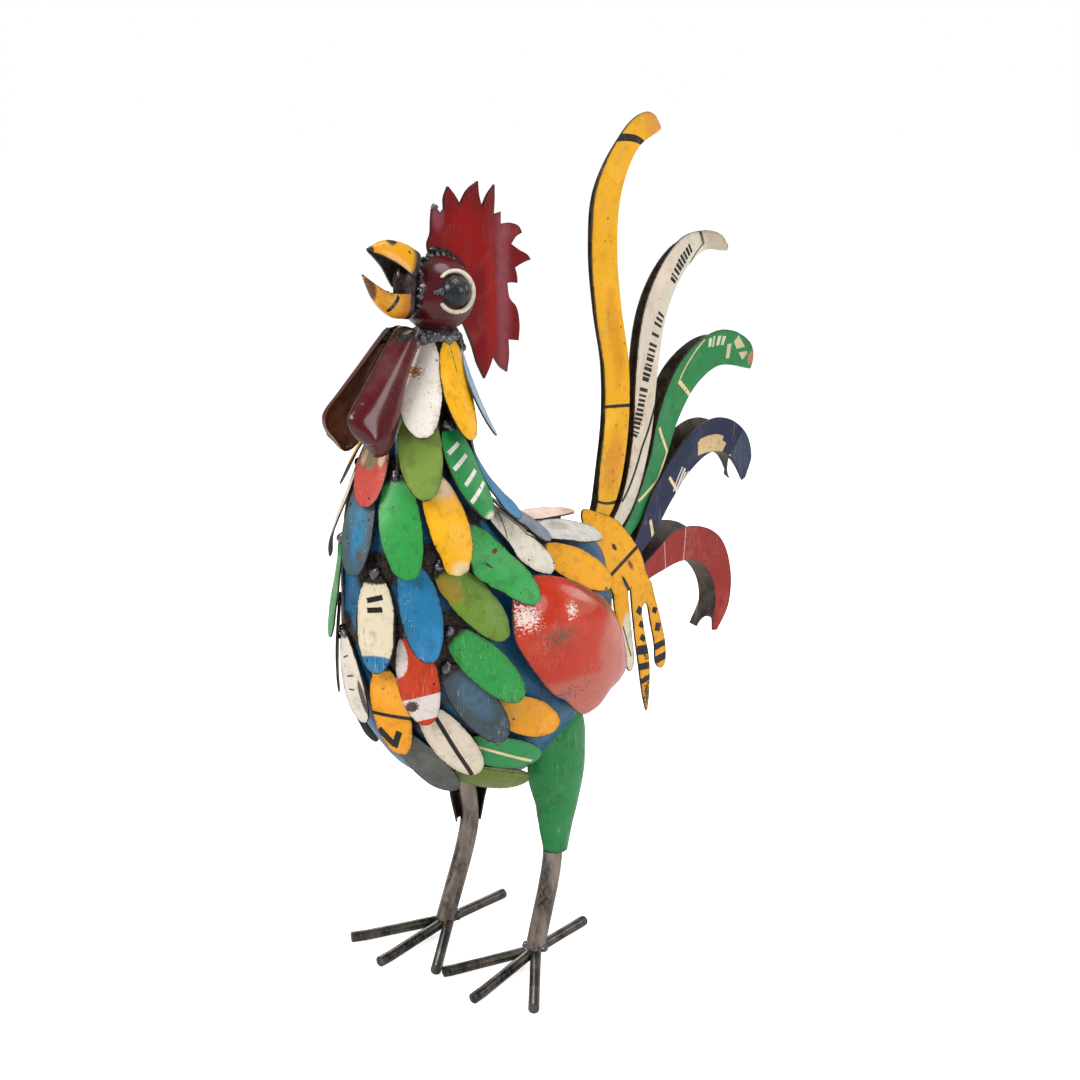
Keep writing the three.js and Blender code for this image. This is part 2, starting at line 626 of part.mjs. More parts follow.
// tip: [angle from the breast, height, lean towards the tail in degrees]
const SINGLE_PLATES = {
  throat_feather_1: { tip: [9, 395, 12], colour: COLOURS.pink, length: 64 },
  throat_feather_2: { tip: [5, 348, 9], colour: COLOURS.teal },
  breast_feather_1: { tip: [13, 279, 2], colour: COLOURS.cream, length: 72 },
  breast_feather_2: { tip: [-1, 236, 13], colour: COLOURS.cream, length: 68 },
  breast_feather_3: { tip: [16, 216, 8], colour: COLOURS.golden, length: 70, raise: 2 },
  left_collar_feather_1: { tip: [50, 441, 1], colour: COLOURS.cream, length: 70, width: 28, raise: 3 },
  left_collar_feather_2: { tip: [95, 438, -10], colour: COLOURS.golden, length: 70, width: 26, raise: 6 },
  left_neck_feather_1: { tip: [54, 401, 3], colour: COLOURS.olive },
  left_neck_feather_2: { tip: [96, 381, 8], colour: COLOURS.green, raise: 3 },
  left_shoulder_feather_1: { tip: [34, 348, 10], colour: COLOURS.green },
  left_shoulder_feather_2: { tip: [57, 349, 12], colour: COLOURS.golden },
  left_shoulder_feather_3: { tip: [76, 320, 33], colour: COLOURS.green, raise: 12 },
  left_back_feather_1: { tip: [91, 335, 23], colour: COLOURS.cream },
  left_back_feather_2: { tip: [134, 347, 53], colour: COLOURS.cream, length: 62 },
  left_back_feather_3: { tip: [112, 307, 47], colour: COLOURS.golden, length: 62, raise: 13 },
  left_breast_feather_1: { tip: [36, 288, 10], colour: COLOURS.blue },
  left_breast_feather_2: { tip: [65, 298, 36], colour: COLOURS.olive },
  left_flank_feather_1: { tip: [31, 241, 10], colour: COLOURS.tailRed, length: 70 },
  left_flank_feather_2: { tip: [68, 253, 43], colour: COLOURS.green, raise: 2 },
  left_flank_feather_3: { tip: [62, 222, 36], colour: COLOURS.slate },
  left_flank_feather_4: { tip: [88, 220, 63], colour: COLOURS.golden, length: 66 },
};

// Columns of plates, from the top down, each welded under the tip of the one above.
const PLATE_COLUMNS = {
  nape: {
    side: 1, colour: 0x8fb0c8,
    tips: [[136, 382, 6], [156, 442, 0], [180, 398, 0], [204, 442, 0], [221, 382, -6]],
  },
  belly: {
    side: 1, colour: 0x6f8f55,
    tips: [[88, 168, 65], [84, 196, 71], [50, 194, 33], [33, 176, 27]],
  },
  right_neck: { side: -1, colour: COLOURS.golden, tips: [[50, 441, 1], [51, 401, 3], [66, 352, 14]] },
  right_side: { side: -1, colour: COLOURS.blue, tips: [[96, 440, -10], [106, 395, 8], [93, 340, 42]] },
  right_breast: { side: -1, colour: COLOURS.cream, tips: [[37, 350, 4], [27, 294, 0], [33, 243, 8]] },
  right_flank: { side: -1, colour: COLOURS.green, tips: [[62, 297, 37], [66, 255, 43], [62, 224, 36]] },
};
const NECK_PLATE = { length: 70, width: 26, lowestTip: 430 }; // plates this high on the neck are smaller

function buildPlates() {
  for (const [name, plate] of Object.entries(SINGLE_PLATES)) {
    add(name, plateSolid(plate), paint(plate.colour));
  }
  for (const [name, column] of Object.entries(PLATE_COLUMNS)) {
    const plates = column.tips.map((tip) => {
      const { length, width } = tip[1] > NECK_PLATE.lowestTip ? NECK_PLATE : PLATE;
      return { tip, length, width };
    });
    const beads = plates.slice(1).map((lower, i) => bead(lower, plates[i]));
    const joined = join([...plates.map(plateSolid), ...beads]);
    add(`${name}_feathers`, column.side > 0 ? joined : mirrored(joined), paint(column.colour));
  }
}

buildBodyAndHead();
buildBeak();
buildEyes();
buildShells();
buildSaddles();
buildTail();
buildLegs();
buildPlates();

// The origin is the middle of the bounding box on the ground.
const bounds = new THREE.Box3().setFromObject(root);
const centre = bounds.getCenter(new THREE.Vector3());
root.position.set(-centre.x, -centre.y, -bounds.min.z);
root.updateMatrixWorld(true);

export default root;
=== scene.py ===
"""A standing rooster welded together from painted scrap sheet, rods and tubes.

The tables are in millimetres, with +Z up, the rooster facing -Y and its left side towards +X, and with
the legs' middle at the origin. Every mesh is shifted onto the frame and made in metres.
"""
import math

import bmesh
import bpy
import numpy as np
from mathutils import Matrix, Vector


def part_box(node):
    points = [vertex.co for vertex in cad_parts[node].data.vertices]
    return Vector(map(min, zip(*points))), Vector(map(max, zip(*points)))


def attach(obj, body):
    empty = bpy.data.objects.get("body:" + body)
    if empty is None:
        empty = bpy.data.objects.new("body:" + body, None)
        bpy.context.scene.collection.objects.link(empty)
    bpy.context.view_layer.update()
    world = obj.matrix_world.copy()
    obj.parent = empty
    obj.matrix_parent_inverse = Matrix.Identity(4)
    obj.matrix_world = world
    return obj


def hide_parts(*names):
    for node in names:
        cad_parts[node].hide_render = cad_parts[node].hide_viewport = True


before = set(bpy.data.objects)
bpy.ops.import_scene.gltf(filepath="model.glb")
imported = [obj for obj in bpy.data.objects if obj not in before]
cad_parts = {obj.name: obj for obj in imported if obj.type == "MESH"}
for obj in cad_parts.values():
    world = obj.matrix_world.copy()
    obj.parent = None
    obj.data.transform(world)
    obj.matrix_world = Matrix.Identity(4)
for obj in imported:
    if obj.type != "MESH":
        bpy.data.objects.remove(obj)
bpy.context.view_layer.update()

MM = 0.001
THICKNESS = 1.4  # of every sheet but the plates and the comb
SHEET_UV = 100  # millimetres of sheet in one unit of its UV map
SHARP_ANGLE = 42
PLATE = {"length": 75, "width": 29.5, "thickness": 1.2, "root_lift": 1.1, "tip_lift": 8.5, "wrap": 0.6,
         "soot": 9, "weld": 4.6}
HEAD = {"centre": (0, -52, 541), "radius": 28.3}
MOUTH = {"centre": (0, -83, 549), "radii": (8.5, 11.5, 21)}
MOUTH_SEAM = {"lumps": 19, "y": -78, "z": 547, "half_width": 9.5, "half_height": 19}
NECK_COLLAR = {"centre": (0, -54, 512.5), "radii": (17.5, 18.5, 10)}
NECK_LUMPS = {"angles": (-94, -60, -36, 38, 50, 62, 80, 91, 102, 132), "z": 510}
EYE = {"from_front": 77, "tilt": 9, "ball": 12.0, "ball_out": 23.2}
EYE_RING = {"inner": 12.6, "outer": 16.6, "depth": 5, "out": 22.4, "from_top": 0.8, "from_below": 0.56}
TUBE_RADIUS = 8
TOE = {"radius": 4.3, "front": 84, "inner": 79, "back": 70, "spread": 34, "hub": 9, "tip": 3.5}
STANCE = 45
ANKLE = {"lumps": 6, "z": 11.5, "size": 3.6}

HEAD_LOW, HEAD_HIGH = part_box("head")
SHIFT = np.array((HEAD_LOW + HEAD_HIGH) / 2) / MM - np.array(HEAD["centre"])


# ------------------------------------------------------------------ curves and meshes
# The flat end of a bar: its width and its rise as shares of the bar's radius, and its burnt length.
CUT_END = {"width": 0.86, "rise": 0.07, "burnt": 16}


def smooth_rows(rows):
    """Monotone cubic through rows whose first number rises: f(x) gives one value a column."""
    table = np.array(rows, float)
    x, y = table[:, 0], table[:, 1:]
    slope = np.diff(y, axis=0) / np.diff(x)[:, None]
    same = slope[:-1] * slope[1:] > 0
    total = np.where(same, slope[:-1] + slope[1:], 1)
    inner = np.where(same, 2 * slope[:-1] * slope[1:] / total, 0)
    tangent = np.vstack([slope[:1], inner, slope[-1:]])

    def at(value):
        v = np.clip(np.asarray(value, float), x[0], x[-1])
        i = np.clip(np.searchsorted(x, v, side="right") - 1, 0, len(x) - 2)
        h = (x[i + 1] - x[i])[..., None]
        t = (v - x[i])[..., None] / h
        start = (y[i] * (1 + 2 * t) + tangent[i] * h * t) * (1 - t) ** 2
        end = (y[i + 1] * (3 - 2 * t) + tangent[i + 1] * h * (t - 1)) * t * t
        return start + end

    return at


def smooth_path(points, closed=False):
    """Centripetal Catmull-Rom through the points: f(t) for t from 0 to 1."""
    p = np.array(points, float)
    if closed:
        p = np.vstack([p[-1:], p, p[:2]])
    else:
        p = np.vstack([2 * p[:1] - p[1:2], p, 2 * p[-1:] - p[-2:-1]])
    knots = np.concatenate([[0], np.cumsum(np.linalg.norm(np.diff(p, axis=0), axis=1) ** 0.5)])
    count = len(p) - 3

    def at(t):
        s = np.clip(np.asarray(t, float), 0, 1) * count
        i = np.clip(s.astype(int), 0, count - 1)
        k = [knots[i + j][..., None] for j in range(4)]
        q = [p[i + j] for j in range(4)]
        u = k[1] + (s - i)[..., None] * (k[2] - k[1])
        a = [((k[j + 1] - u) * q[j] + (u - k[j]) * q[j + 1]) / (k[j + 1] - k[j]) for j in range(3)]
        b = [((k[j + 2] - u) * a[j] + (u - k[j]) * a[j + 1]) / (k[j + 2] - k[j]) for j in range(2)]
        return ((k[2] - u) * b[0] + (u - k[1]) * b[1]) / (k[2] - k[1])

    return at


def unit(v):
    return v / np.maximum(np.linalg.norm(v, axis=-1, keepdims=True), 1e-9)


def smoothstep(low, high, x):
    t = np.clip((x - low) / (high - low), 0, 1)
    return t * t * (3 - 2 * t)


def wobble(seed, x, waves=5):
    """A slow random curve of about -1 to 1 along x from 0 to 1."""
    rng = np.random.default_rng(seed)
    total = np.zeros_like(np.asarray(x, float))
    for k in range(1, waves + 1):
        total = total + rng.normal() * np.sin(2 * math.pi * (k * x + rng.random())) / k
    return total / 1.5


def dents(points, seed, size, depth):
    """Hammer marks: how far each point is pushed in, never out."""
    rng = np.random.default_rng(seed)
    turned = points @ np.linalg.qr(rng.normal(size=(3, 3)))[0] / size
    wave = np.sin(turned[..., 0]) * np.sin(turned[..., 1] + 1.3) * np.sin(turned[..., 2] + 0.4)
    return -depth * (0.5 + 0.5 * wave)


def build_mesh(name, points, faces, uv=None, **fields):
    """A mesh object in the frame, from points in millimetres; each field is one number a point."""
    mesh = bpy.data.meshes.new(name)
    places = (np.asarray(points, float) + SHIFT) * MM
    mesh.from_pydata(places.tolist(), [], [list(map(int, face)) for face in faces])
    mesh.validate()
    if uv is not None:
        layer = mesh.uv_layers.new(name="sheet")
        corners = np.zeros(len(mesh.loops), int)
        mesh.loops.foreach_get("vertex_index", corners)
        layer.data.foreach_set("uv", (np.asarray(uv, float)[corners] / SHEET_UV).ravel())
    for field, values in fields.items():
        attribute = mesh.attributes.new(field, "FLOAT", "POINT")
        attribute.data.foreach_set("value", np.asarray(values, float).ravel())
    mesh.shade_smooth()
    mesh.set_sharp_from_angle(angle=math.radians(SHARP_ANGLE))
    piece = bpy.data.objects.new(name, mesh)
    bpy.context.scene.collection.objects.link(piece)
    return piece


def grid_faces(rows, columns, start=0, flip=False, wrap=False):
    """Quads of a grid of points; wrap joins the last column to the first."""
    faces = []
    for i in range(rows - 1):
        for j in range(columns if wrap else columns - 1):
            k = (j + 1) % columns
            quad = [i * columns + j, i * columns + k, (i + 1) * columns + k, (i + 1) * columns + j]
            quad = [start + n for n in quad]
            faces.append(quad[::-1] if flip else quad)
    return faces


def sheet_mesh(name, surface, columns, rows, thickness, soot=None, bare=None):
    """A sheet of even thickness over surface(u, v), u from -1 to 1 and v from 0 to 1.

    Its painted side is the one that dv x du points to. The sheet UV is the distance from the middle
    line and the distance along it; rim is the distance to the nearest cut edge.
    """
    u = np.linspace(-1, 1, columns + 1)
    v = np.linspace(0, 1, rows + 1)
    grid_v, grid_u = np.meshgrid(v, u, indexing="ij")
    points = surface(grid_u, grid_v)
    along_u = np.gradient(points, axis=1)
    along_v = np.gradient(points, axis=0)
    normal = unit(np.cross(along_v, along_u))
    across = np.linalg.norm(np.diff(points, axis=1), axis=2)
    across = np.concatenate([np.zeros((rows + 1, 1)), np.cumsum(across, axis=1)], axis=1)
    from_middle = across - across[:, columns // 2][:, None]
    downwards = np.linalg.norm(np.diff(points, axis=0), axis=2)
    downwards = np.concatenate([np.zeros((1, columns + 1)), np.cumsum(downwards, axis=0)], axis=0)
    along = np.repeat(downwards[:, columns // 2][:, None], columns + 1, axis=1)
    rim = np.minimum(np.minimum(across, across[:, -1:] - across), np.minimum(along, along[-1:] - along))
    outer = points + normal * thickness / 2
    inner = points - normal * thickness / 2
    size = (rows + 1) * (columns + 1)
    faces = grid_faces(rows + 1, columns + 1, flip=True)
    faces += grid_faces(rows + 1, columns + 1, size)
    index = np.arange(size).reshape(rows + 1, columns + 1)
    border = np.concatenate([index[0, :], index[1:, -1], index[-1, -2::-1], index[-2:0:-1, 0]])
    border = border[::-1]
    for a, b in zip(border, np.roll(border, -1)):
        faces.append([a, a + size, b + size, b])
    all_points = np.concatenate([outer.reshape(-1, 3), inner.reshape(-1, 3)])
    uv = np.stack([from_middle, along], axis=-1).reshape(-1, 2)
    soot_field = np.zeros((rows + 1, columns + 1)) if soot is None else soot(along)
    inside_toned = np.zeros(size) if bare is None else bare(grid_u, grid_v).ravel()
    piece = build_mesh(
        name, all_points, faces, uv=np.concatenate([uv, uv]), rim=np.tile(rim.ravel() * MM, 2),
        soot=np.tile(soot_field.ravel(), 2), back=np.concatenate([inside_toned, np.ones(size)]))
    return piece


def burnt_root(reach, full=0.0, most=1.0):
    """A soot rule for sheet_mesh: burnt from the root up to a reach along the sheet."""
    def soot(along):
        return most * smoothstep(reach, full, along)

    return soot


def ball_mesh(name, centre, radii, seed, depth, size, soot=None, across=56, down=36):
    """A hammered ball: a closed ellipsoid with its poles up and down."""
    turn = np.linspace(0, 2 * math.pi, across, endpoint=False)
    fall = np.linspace(0, math.pi, down + 1)[1:-1]
    rings, turns = np.meshgrid(fall, turn, indexing="ij")
    flat_part = np.sin(rings)
    directions = np.stack([flat_part * np.cos(turns), flat_part * np.sin(turns), np.cos(rings)], axis=-1)
    directions = np.concatenate([directions.reshape(-1, 3), [[0, 0, 1], [0, 0, -1]]])
    points = directions * np.array(radii)
    points = points + directions * dents(points, seed, size, depth)[:, None] + np.array(centre)
    top, bottom = len(points) - 2, len(points) - 1
    faces = grid_faces(down - 1, across, wrap=True, flip=True)
    last = (down - 2) * across
    for j in range(across):
        k = (j + 1) % across
        faces.append([j, k, top])
        faces.append([last + k, last + j, bottom])
    field = np.zeros(len(points)) if soot is None else soot(points)
    return build_mesh(name, points, faces, soot=field)


def tube_mesh(name, path, radius, rows, sides, flare, seed):
    """A round bar or tube along path(t), with flat cut ends; its steel is burnt near both."""
    t = np.linspace(0, 1, rows + 1)
    centres = path(t)
    tangent = unit(np.gradient(centres, axis=0))
    upright = abs(tangent[0, 2]) >= 0.8
    side = unit(np.cross(tangent, np.array([0, 1, 0] if upright else [0.31, 0.12, 0.94])))
    other = np.cross(tangent, side)
    turn = np.linspace(0, 2 * math.pi, sides, endpoint=False)
    width = radius * (1 + flare * wobble(seed, t)[:, None])
    ring = np.cos(turn)[None, :, None] * side[:, None, :] + np.sin(turn)[None, :, None] * other[:, None, :]
    rings = centres[:, None, :] + ring * width[..., None]
    end_centres = centres[[0, -1], None, :]
    inset = end_centres + (rings[[0, -1]] - end_centres) * CUT_END["width"]
    start_cap = inset[0] - tangent[0] * radius * CUT_END["rise"]
    end_cap = inset[1] + tangent[-1] * radius * CUT_END["rise"]
    points = np.concatenate([start_cap, rings.reshape(-1, 3), end_cap])
    faces = grid_faces(rows + 3, sides, wrap=True)
    faces.append(list(range(sides))[::-1])
    faces.append([(rows + 2) * sides + k for k in range(sides)])
    along = np.concatenate([[0.0], np.cumsum(np.linalg.norm(np.diff(centres, axis=0), axis=1))])
    along = np.concatenate([along[:1], along, along[-1:]])
    ends = np.minimum(along, along[-1] - along)
    soot = np.repeat(smoothstep(CUT_END["burnt"], 2, ends), sides)
    return build_mesh(name, points, faces, soot=soot)


def soft_distance(places, edge, spots_a_side=6, nearest=0.3):
    """Distance from a closed edge that stays smooth in the middle, where the plain one has creases."""
    steps = np.linspace(0, 1, spots_a_side, endpoint=False)[:, None, None]
    sides = np.roll(edge, -1, axis=0) - edge
    spots = (edge + steps * sides).reshape(-1, 2)
    weight = np.tile(np.linalg.norm(sides, axis=1) / spots_a_side, spots_a_side)
    apart = np.maximum(np.linalg.norm(places[:, None] - spots, axis=2), nearest)
    return (2 / math.pi * np.sum(weight / apart ** 4, axis=1)) ** (-1 / 3)


def outline_mesh(name, outline, thickness, across, step, smooth=True, soot=None):
    """A sheet cut to a closed (y, z) outline, its outer side to +X.

    across(y, z, rim) bends or domes it sideways; rim is the soft distance from the cut edge. The
    step is the width of the mesh's squares.
    """
    edge = np.array(outline, float)
    if smooth:
        edge = smooth_path(edge, closed=True)(np.linspace(0, 1, len(edge) * 6, endpoint=False))
    bm = bmesh.new()
    bm.faces.new([bm.verts.new((0, y, z)) for y, z in edge])
    for axis, normal in enumerate(((0, 1, 0), (0, 0, 1))):
        for level in np.arange(edge[:, axis].min() + step, edge[:, axis].max(), step):
            place = [level * share for share in normal]
            everything = bm.verts[:] + bm.edges[:] + bm.faces[:]
            bmesh.ops.bisect_plane(bm, geom=everything, plane_co=place, plane_no=normal)
    bmesh.ops.triangulate(bm, faces=[f for f in bm.faces if len(f.verts) > 4])
    bm.normal_update()
    if sum(f.normal.x * f.calc_area() for f in bm.faces) < 0:
        bmesh.ops.reverse_faces(bm, faces=bm.faces)
    bm.verts.index_update()
    flat = np.array([v.co for v in bm.verts])
    faces = [[v.index for v in f.verts] for f in bm.faces]
    borders = [e for e in bm.edges if len(e.link_loops) == 1]
    rims = [(e.link_loops[0].vert.index, e.link_loops[0].link_loop_next.vert.index) for e in borders]
    bm.free()
    yz = flat[:, 1:]
    a, b = edge, np.roll(edge, -1, axis=0)
    share = np.clip(np.einsum("ijk,jk->ij", yz[:, None] - a, b - a) / np.sum((b - a) ** 2, axis=1), 0, 1)
    rim = np.linalg.norm(yz[:, None] - (a + share[..., None] * (b - a)), axis=2).min(axis=1)
    shift = across(yz[:, 0], yz[:, 1], np.minimum(rim, soft_distance(yz, edge)))
    size = len(flat)
    outer = np.column_stack([shift + thickness / 2, yz])
    inner = np.column_stack([shift - thickness / 2, yz])
    all_faces = faces + [[n + size for n in f[::-1]] for f in faces]
    all_faces += [[p, p + size, q + size, q] for p, q in rims]
    field = np.zeros(size) if soot is None else soot(outer)
    return build_mesh(
        name, np.concatenate([outer, inner]), all_faces, uv=np.tile(yz, (2, 1)),
        rim=np.tile(rim * MM, 2), soot=np.tile(field, 2), back=np.repeat([0.0, 1.0], size))


def mirror(piece, name):
    """The same piece on the other side, with its faces turned outwards again."""
    mesh = piece.data.copy()
    mesh.name = name
    middle = SHIFT[0] * MM
    places = np.zeros(len(mesh.vertices) * 3)
    mesh.vertices.foreach_get("co", places)
    places = places.reshape(-1, 3)
    places[:, 0] = 2 * middle - places[:, 0]
    mesh.vertices.foreach_set("co", places.ravel())
    mesh.flip_normals()
    twin = bpy.data.objects.new(name, mesh)
    bpy.context.scene.collection.objects.link(twin)
    return twin


def turn_outwards(piece):
    """Turns the faces of a closed mesh outwards."""
    bm = bmesh.new()
    bm.from_mesh(piece.data)
    bmesh.ops.recalc_face_normals(bm, faces=bm.faces)
    bm.to_mesh(piece.data)
    bm.free()


def paint_outside(piece, middle):
    """Makes the side of a sheet that is farther from the middle its painted one."""
    mesh = piece.data
    half = len(mesh.vertices) // 2
    places = np.array([vertex.co for vertex in mesh.vertices]) / MM - SHIFT
    reach = np.linalg.norm(places - middle, axis=1)
    if reach[:half].mean() < reach[half:].mean():
        mesh.attributes["back"].data.foreach_set("value", np.repeat([1.0, 0.0], half))


def fit(piece, finish, slot, *nodes):
    """Gives a finished piece its material and its body, and hides the nodes it stands for. The slot is not
    used.
    """
    if finish is not None:
        piece.data.materials.clear()
        piece.data.materials.append(finish)
    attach(piece, "root")
    if nodes:
        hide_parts(*nodes)
    return piece


# ------------------------------------------------------------------ shader trees
def linear(colour):
    """Scene-linear RGBA of a 0xRRGGBB colour."""
    parts = [((colour >> shift) & 255) / 255 for shift in (16, 8, 0)]
    parts = [p / 12.92 if p <= 0.04045 else ((p + 0.055) / 1.055) ** 2.4 for p in parts]
    return (*parts, 1.0)


class Tree:
    """Short calls for wiring a node tree: a value may be a number, a colour or another node's output."""

    def __init__(self, tree):
        self.tree = tree

    def add(self, kind, inputs=(), **settings):
        node = self.tree.nodes.new(kind)
        for key, value in settings.items():
            setattr(node, key, value)
        for key, value in dict(inputs).items():
            self.feed(node.inputs[key], value)
        return node

    def feed(self, socket, value):
        if isinstance(value, bpy.types.NodeSocket):
            self.tree.links.new(value, socket)
        else:
            socket.default_value = value

    def math(self, operation, *values, clamp=False):
        node = self.add("ShaderNodeMath", enumerate(values), operation=operation, use_clamp=clamp)
        return node.outputs[0]

    def plus(self, a, b):
        return self.math("ADD", a, b)

    def minus(self, a, b):
        return self.math("SUBTRACT", a, b)

    def times(self, a, b, clamp=False):
        return self.math("MULTIPLY", a, b, clamp=clamp)

    def vector(self, operation, *values, output=0):
        return self.add("ShaderNodeVectorMath", enumerate(values), operation=operation).outputs[output]

    def scaled(self, vector, scale):
        return self.add("ShaderNodeVectorMath", {0: vector, "Scale": scale}, operation="SCALE").outputs[0]

    def ramp(self, value, low, high, start=0.0, end=1.0):
        """A smooth step from start to end while the value goes from low to high."""
        inputs = {"Value": value, "From Min": low, "From Max": high, "To Min": start, "To Max": end}
        return self.add("ShaderNodeMapRange", inputs, interpolation_type="SMOOTHSTEP").outputs[0]

    def mix(self, factor, a, b, blend="MIX"):
        inputs = {0: factor, 6: a, 7: b}
        return self.add("ShaderNodeMix", inputs, data_type="RGBA", blend_type=blend).outputs[2]

    def noise(self, vector, scale, detail=3.0, roughness=0.55, distortion=0.0):
        inputs = {"Vector": vector, "Scale": scale, "Detail": detail, "Roughness": roughness}
        inputs["Distortion"] = distortion
        return self.add("ShaderNodeTexNoise", inputs).outputs[0]

    def stretch(self, vector, scale, turn=(0, 0, 0)):
        inputs = {"Vector": vector, "Scale": scale, "Rotation": turn}
        return self.add("ShaderNodeMapping", inputs).outputs[0]

    def moved(self, geometry, offset):
        return self.add("GeometryNodeSetPosition", {"Geometry": geometry, "Offset": offset}).outputs[0]

    def field(self, name):
        return self.add("ShaderNodeAttribute", attribute_name=name).outputs["Fac"]


def group(name, inputs, outputs, build):
    """A shader node group: inputs are (name, type, default), outputs are (name, type)."""
    tree = bpy.data.node_groups.new(name, "ShaderNodeTree")
    for label, kind, default in inputs:
        socket = tree.interface.new_socket(label, in_out="INPUT", socket_type=kind)
        socket.default_value = default
    for label, kind in outputs:
        tree.interface.new_socket(label, in_out="OUTPUT", socket_type=kind)
    g = Tree(tree)
    source = g.add("NodeGroupInput").outputs
    sink = g.add("NodeGroupOutput").inputs
    for label, value in build(g, source).items():
        g.feed(sink[label], value)
    return tree


FLOAT, COLOUR, VECTOR = "NodeSocketFloat", "NodeSocketColor", "NodeSocketVector"
FEATHER = 0.2 / SHEET_UV  # half the width over which a painted edge fades


def along_line(g, source):
    """How far the place is along the line from Start to End, how far off it, and the line's length."""
    offset = g.vector("SUBTRACT", source["Place"], source["Start"])
    span = g.vector("SUBTRACT", source["End"], source["Start"])
    direction = g.vector("NORMALIZE", span)
    along = g.vector("DOT_PRODUCT", offset, direction, output=1)
    sideways = g.vector("LENGTH", g.vector("CROSS_PRODUCT", offset, direction), output=1)
    return along, sideways, g.vector("LENGTH", span, output=1)


def stroke_mask(g, source):
    """1 on a straight painted stroke from Start to End, with slightly ragged edges."""
    along, sideways, length = along_line(g, source)
    shake = g.noise(source["Place"], 60.0, 2.0)
    shake = g.times(g.minus(shake, 0.5), source["Raggedness"])
    half = g.plus(g.times(source["Width"], 0.5), shake)
    inside = g.ramp(g.minus(half, sideways), -FEATHER, FEATHER)
    before = g.ramp(g.plus(along, shake), -FEATHER, FEATHER)
    after = g.ramp(g.minus(g.plus(length, shake), along), -FEATHER, FEATHER)
    return {"Mask": g.times(g.times(before, after), inside)}


def patch_mask(g, source):
    """1 inside a ragged oval patch."""
    offset = g.vector("DIVIDE", g.vector("SUBTRACT", source["Place"], source["Centre"]), source["Size"])
    distance = g.vector("LENGTH", offset, output=1)
    shake = g.minus(g.noise(source["Place"], source["Grain"], 5.0, 0.65), 0.5)
    edge = g.plus(distance, g.times(shake, source["Raggedness"]))
    edge = g.plus(edge, g.minus(1.0, source["Cover"]))
    low = g.minus(1.0, source["Softness"])
    high = g.plus(1.0, source["Softness"])
    return {"Mask": g.minus(1.0, g.ramp(edge, low, high))}


def bars_mask(g, source):
    """1 on a row of short bars across the line from Start to End, with random widths and heights."""
    along, sideways, length = along_line(g, source)
    count = g.math("DIVIDE", along, source["Spacing"])
    cell = g.math("FLOOR", count)
    chance = g.add("ShaderNodeTexWhiteNoise", {"W": cell}, noise_dimensions="1D").outputs["Value"]
    height = g.add("ShaderNodeTexWhiteNoise", {"W": g.plus(cell, 0.37)}, noise_dimensions="1D").outputs[0]
    width = g.math("MULTIPLY_ADD", chance, 0.4, 0.42)
    bar = g.ramp(g.minus(width, g.math("FRACT", count)), -0.08, 0.08)
    tall = g.times(source["Height"], g.math("MULTIPLY_ADD", height, 0.14, 0.36))
    inside = g.ramp(g.minus(tall, sideways), -FEATHER, FEATHER)
    within = g.times(g.math("GREATER_THAN", along, 0.0), g.math("LESS_THAN", along, length))
    kept = g.times(within, g.math("LESS_THAN", height, source["Kept"]))
    return {"Mask": g.times(g.times(bar, inside), kept)}


def bare_steel(g, source):
    """Weathered bare steel: brown and grey mottling, rust, and fine lengthwise scratches."""
    place = source["Place"]
    broad = g.noise(g.stretch(place, (1.0, 1.0, 0.3)), 55.0, 4.0, 0.6)
    fine = g.noise(place, 260.0, 4.0, 0.6)
    rust = g.noise(place, 75.0, 6.0, 0.7, 0.6)
    colour = g.mix(g.ramp(broad, 0.38, 0.62), source["Dark"], source["Light"])
    colour = g.mix(g.ramp(fine, 0.35, 0.75, 0.0, 0.55), colour, source["Light"])
    rust_mask = g.times(g.ramp(rust, 0.56, 0.68), source["Rust"])
    colour = g.mix(rust_mask, colour, linear(0x6A3D22))
    lines = g.noise(g.stretch(place, (1.0, 1.0, 0.08)), 900.0, 2.0)
    colour = g.mix(g.ramp(lines, 0.66, 0.72, 0.0, 0.5), colour, linear(0xB9B2A8))
    roughness = g.plus(g.ramp(fine, 0.3, 0.7, 0.28, 0.48), g.times(rust_mask, 0.3))
    height = g.plus(g.times(fine, 0.4), g.times(lines, 0.25))
    metallic = g.minus(0.85, g.times(rust_mask, 0.6))
    return {"Color": colour, "Roughness": roughness, "Metallic": metallic, "Height": height}


# Two families of scratches in the paint, dark and pale: their turn and how many there are.
SCRATCHES = [((0.2, 0.3, 0.5), 0.75), ((1.1, 0.2, 1.9), 0.55)]


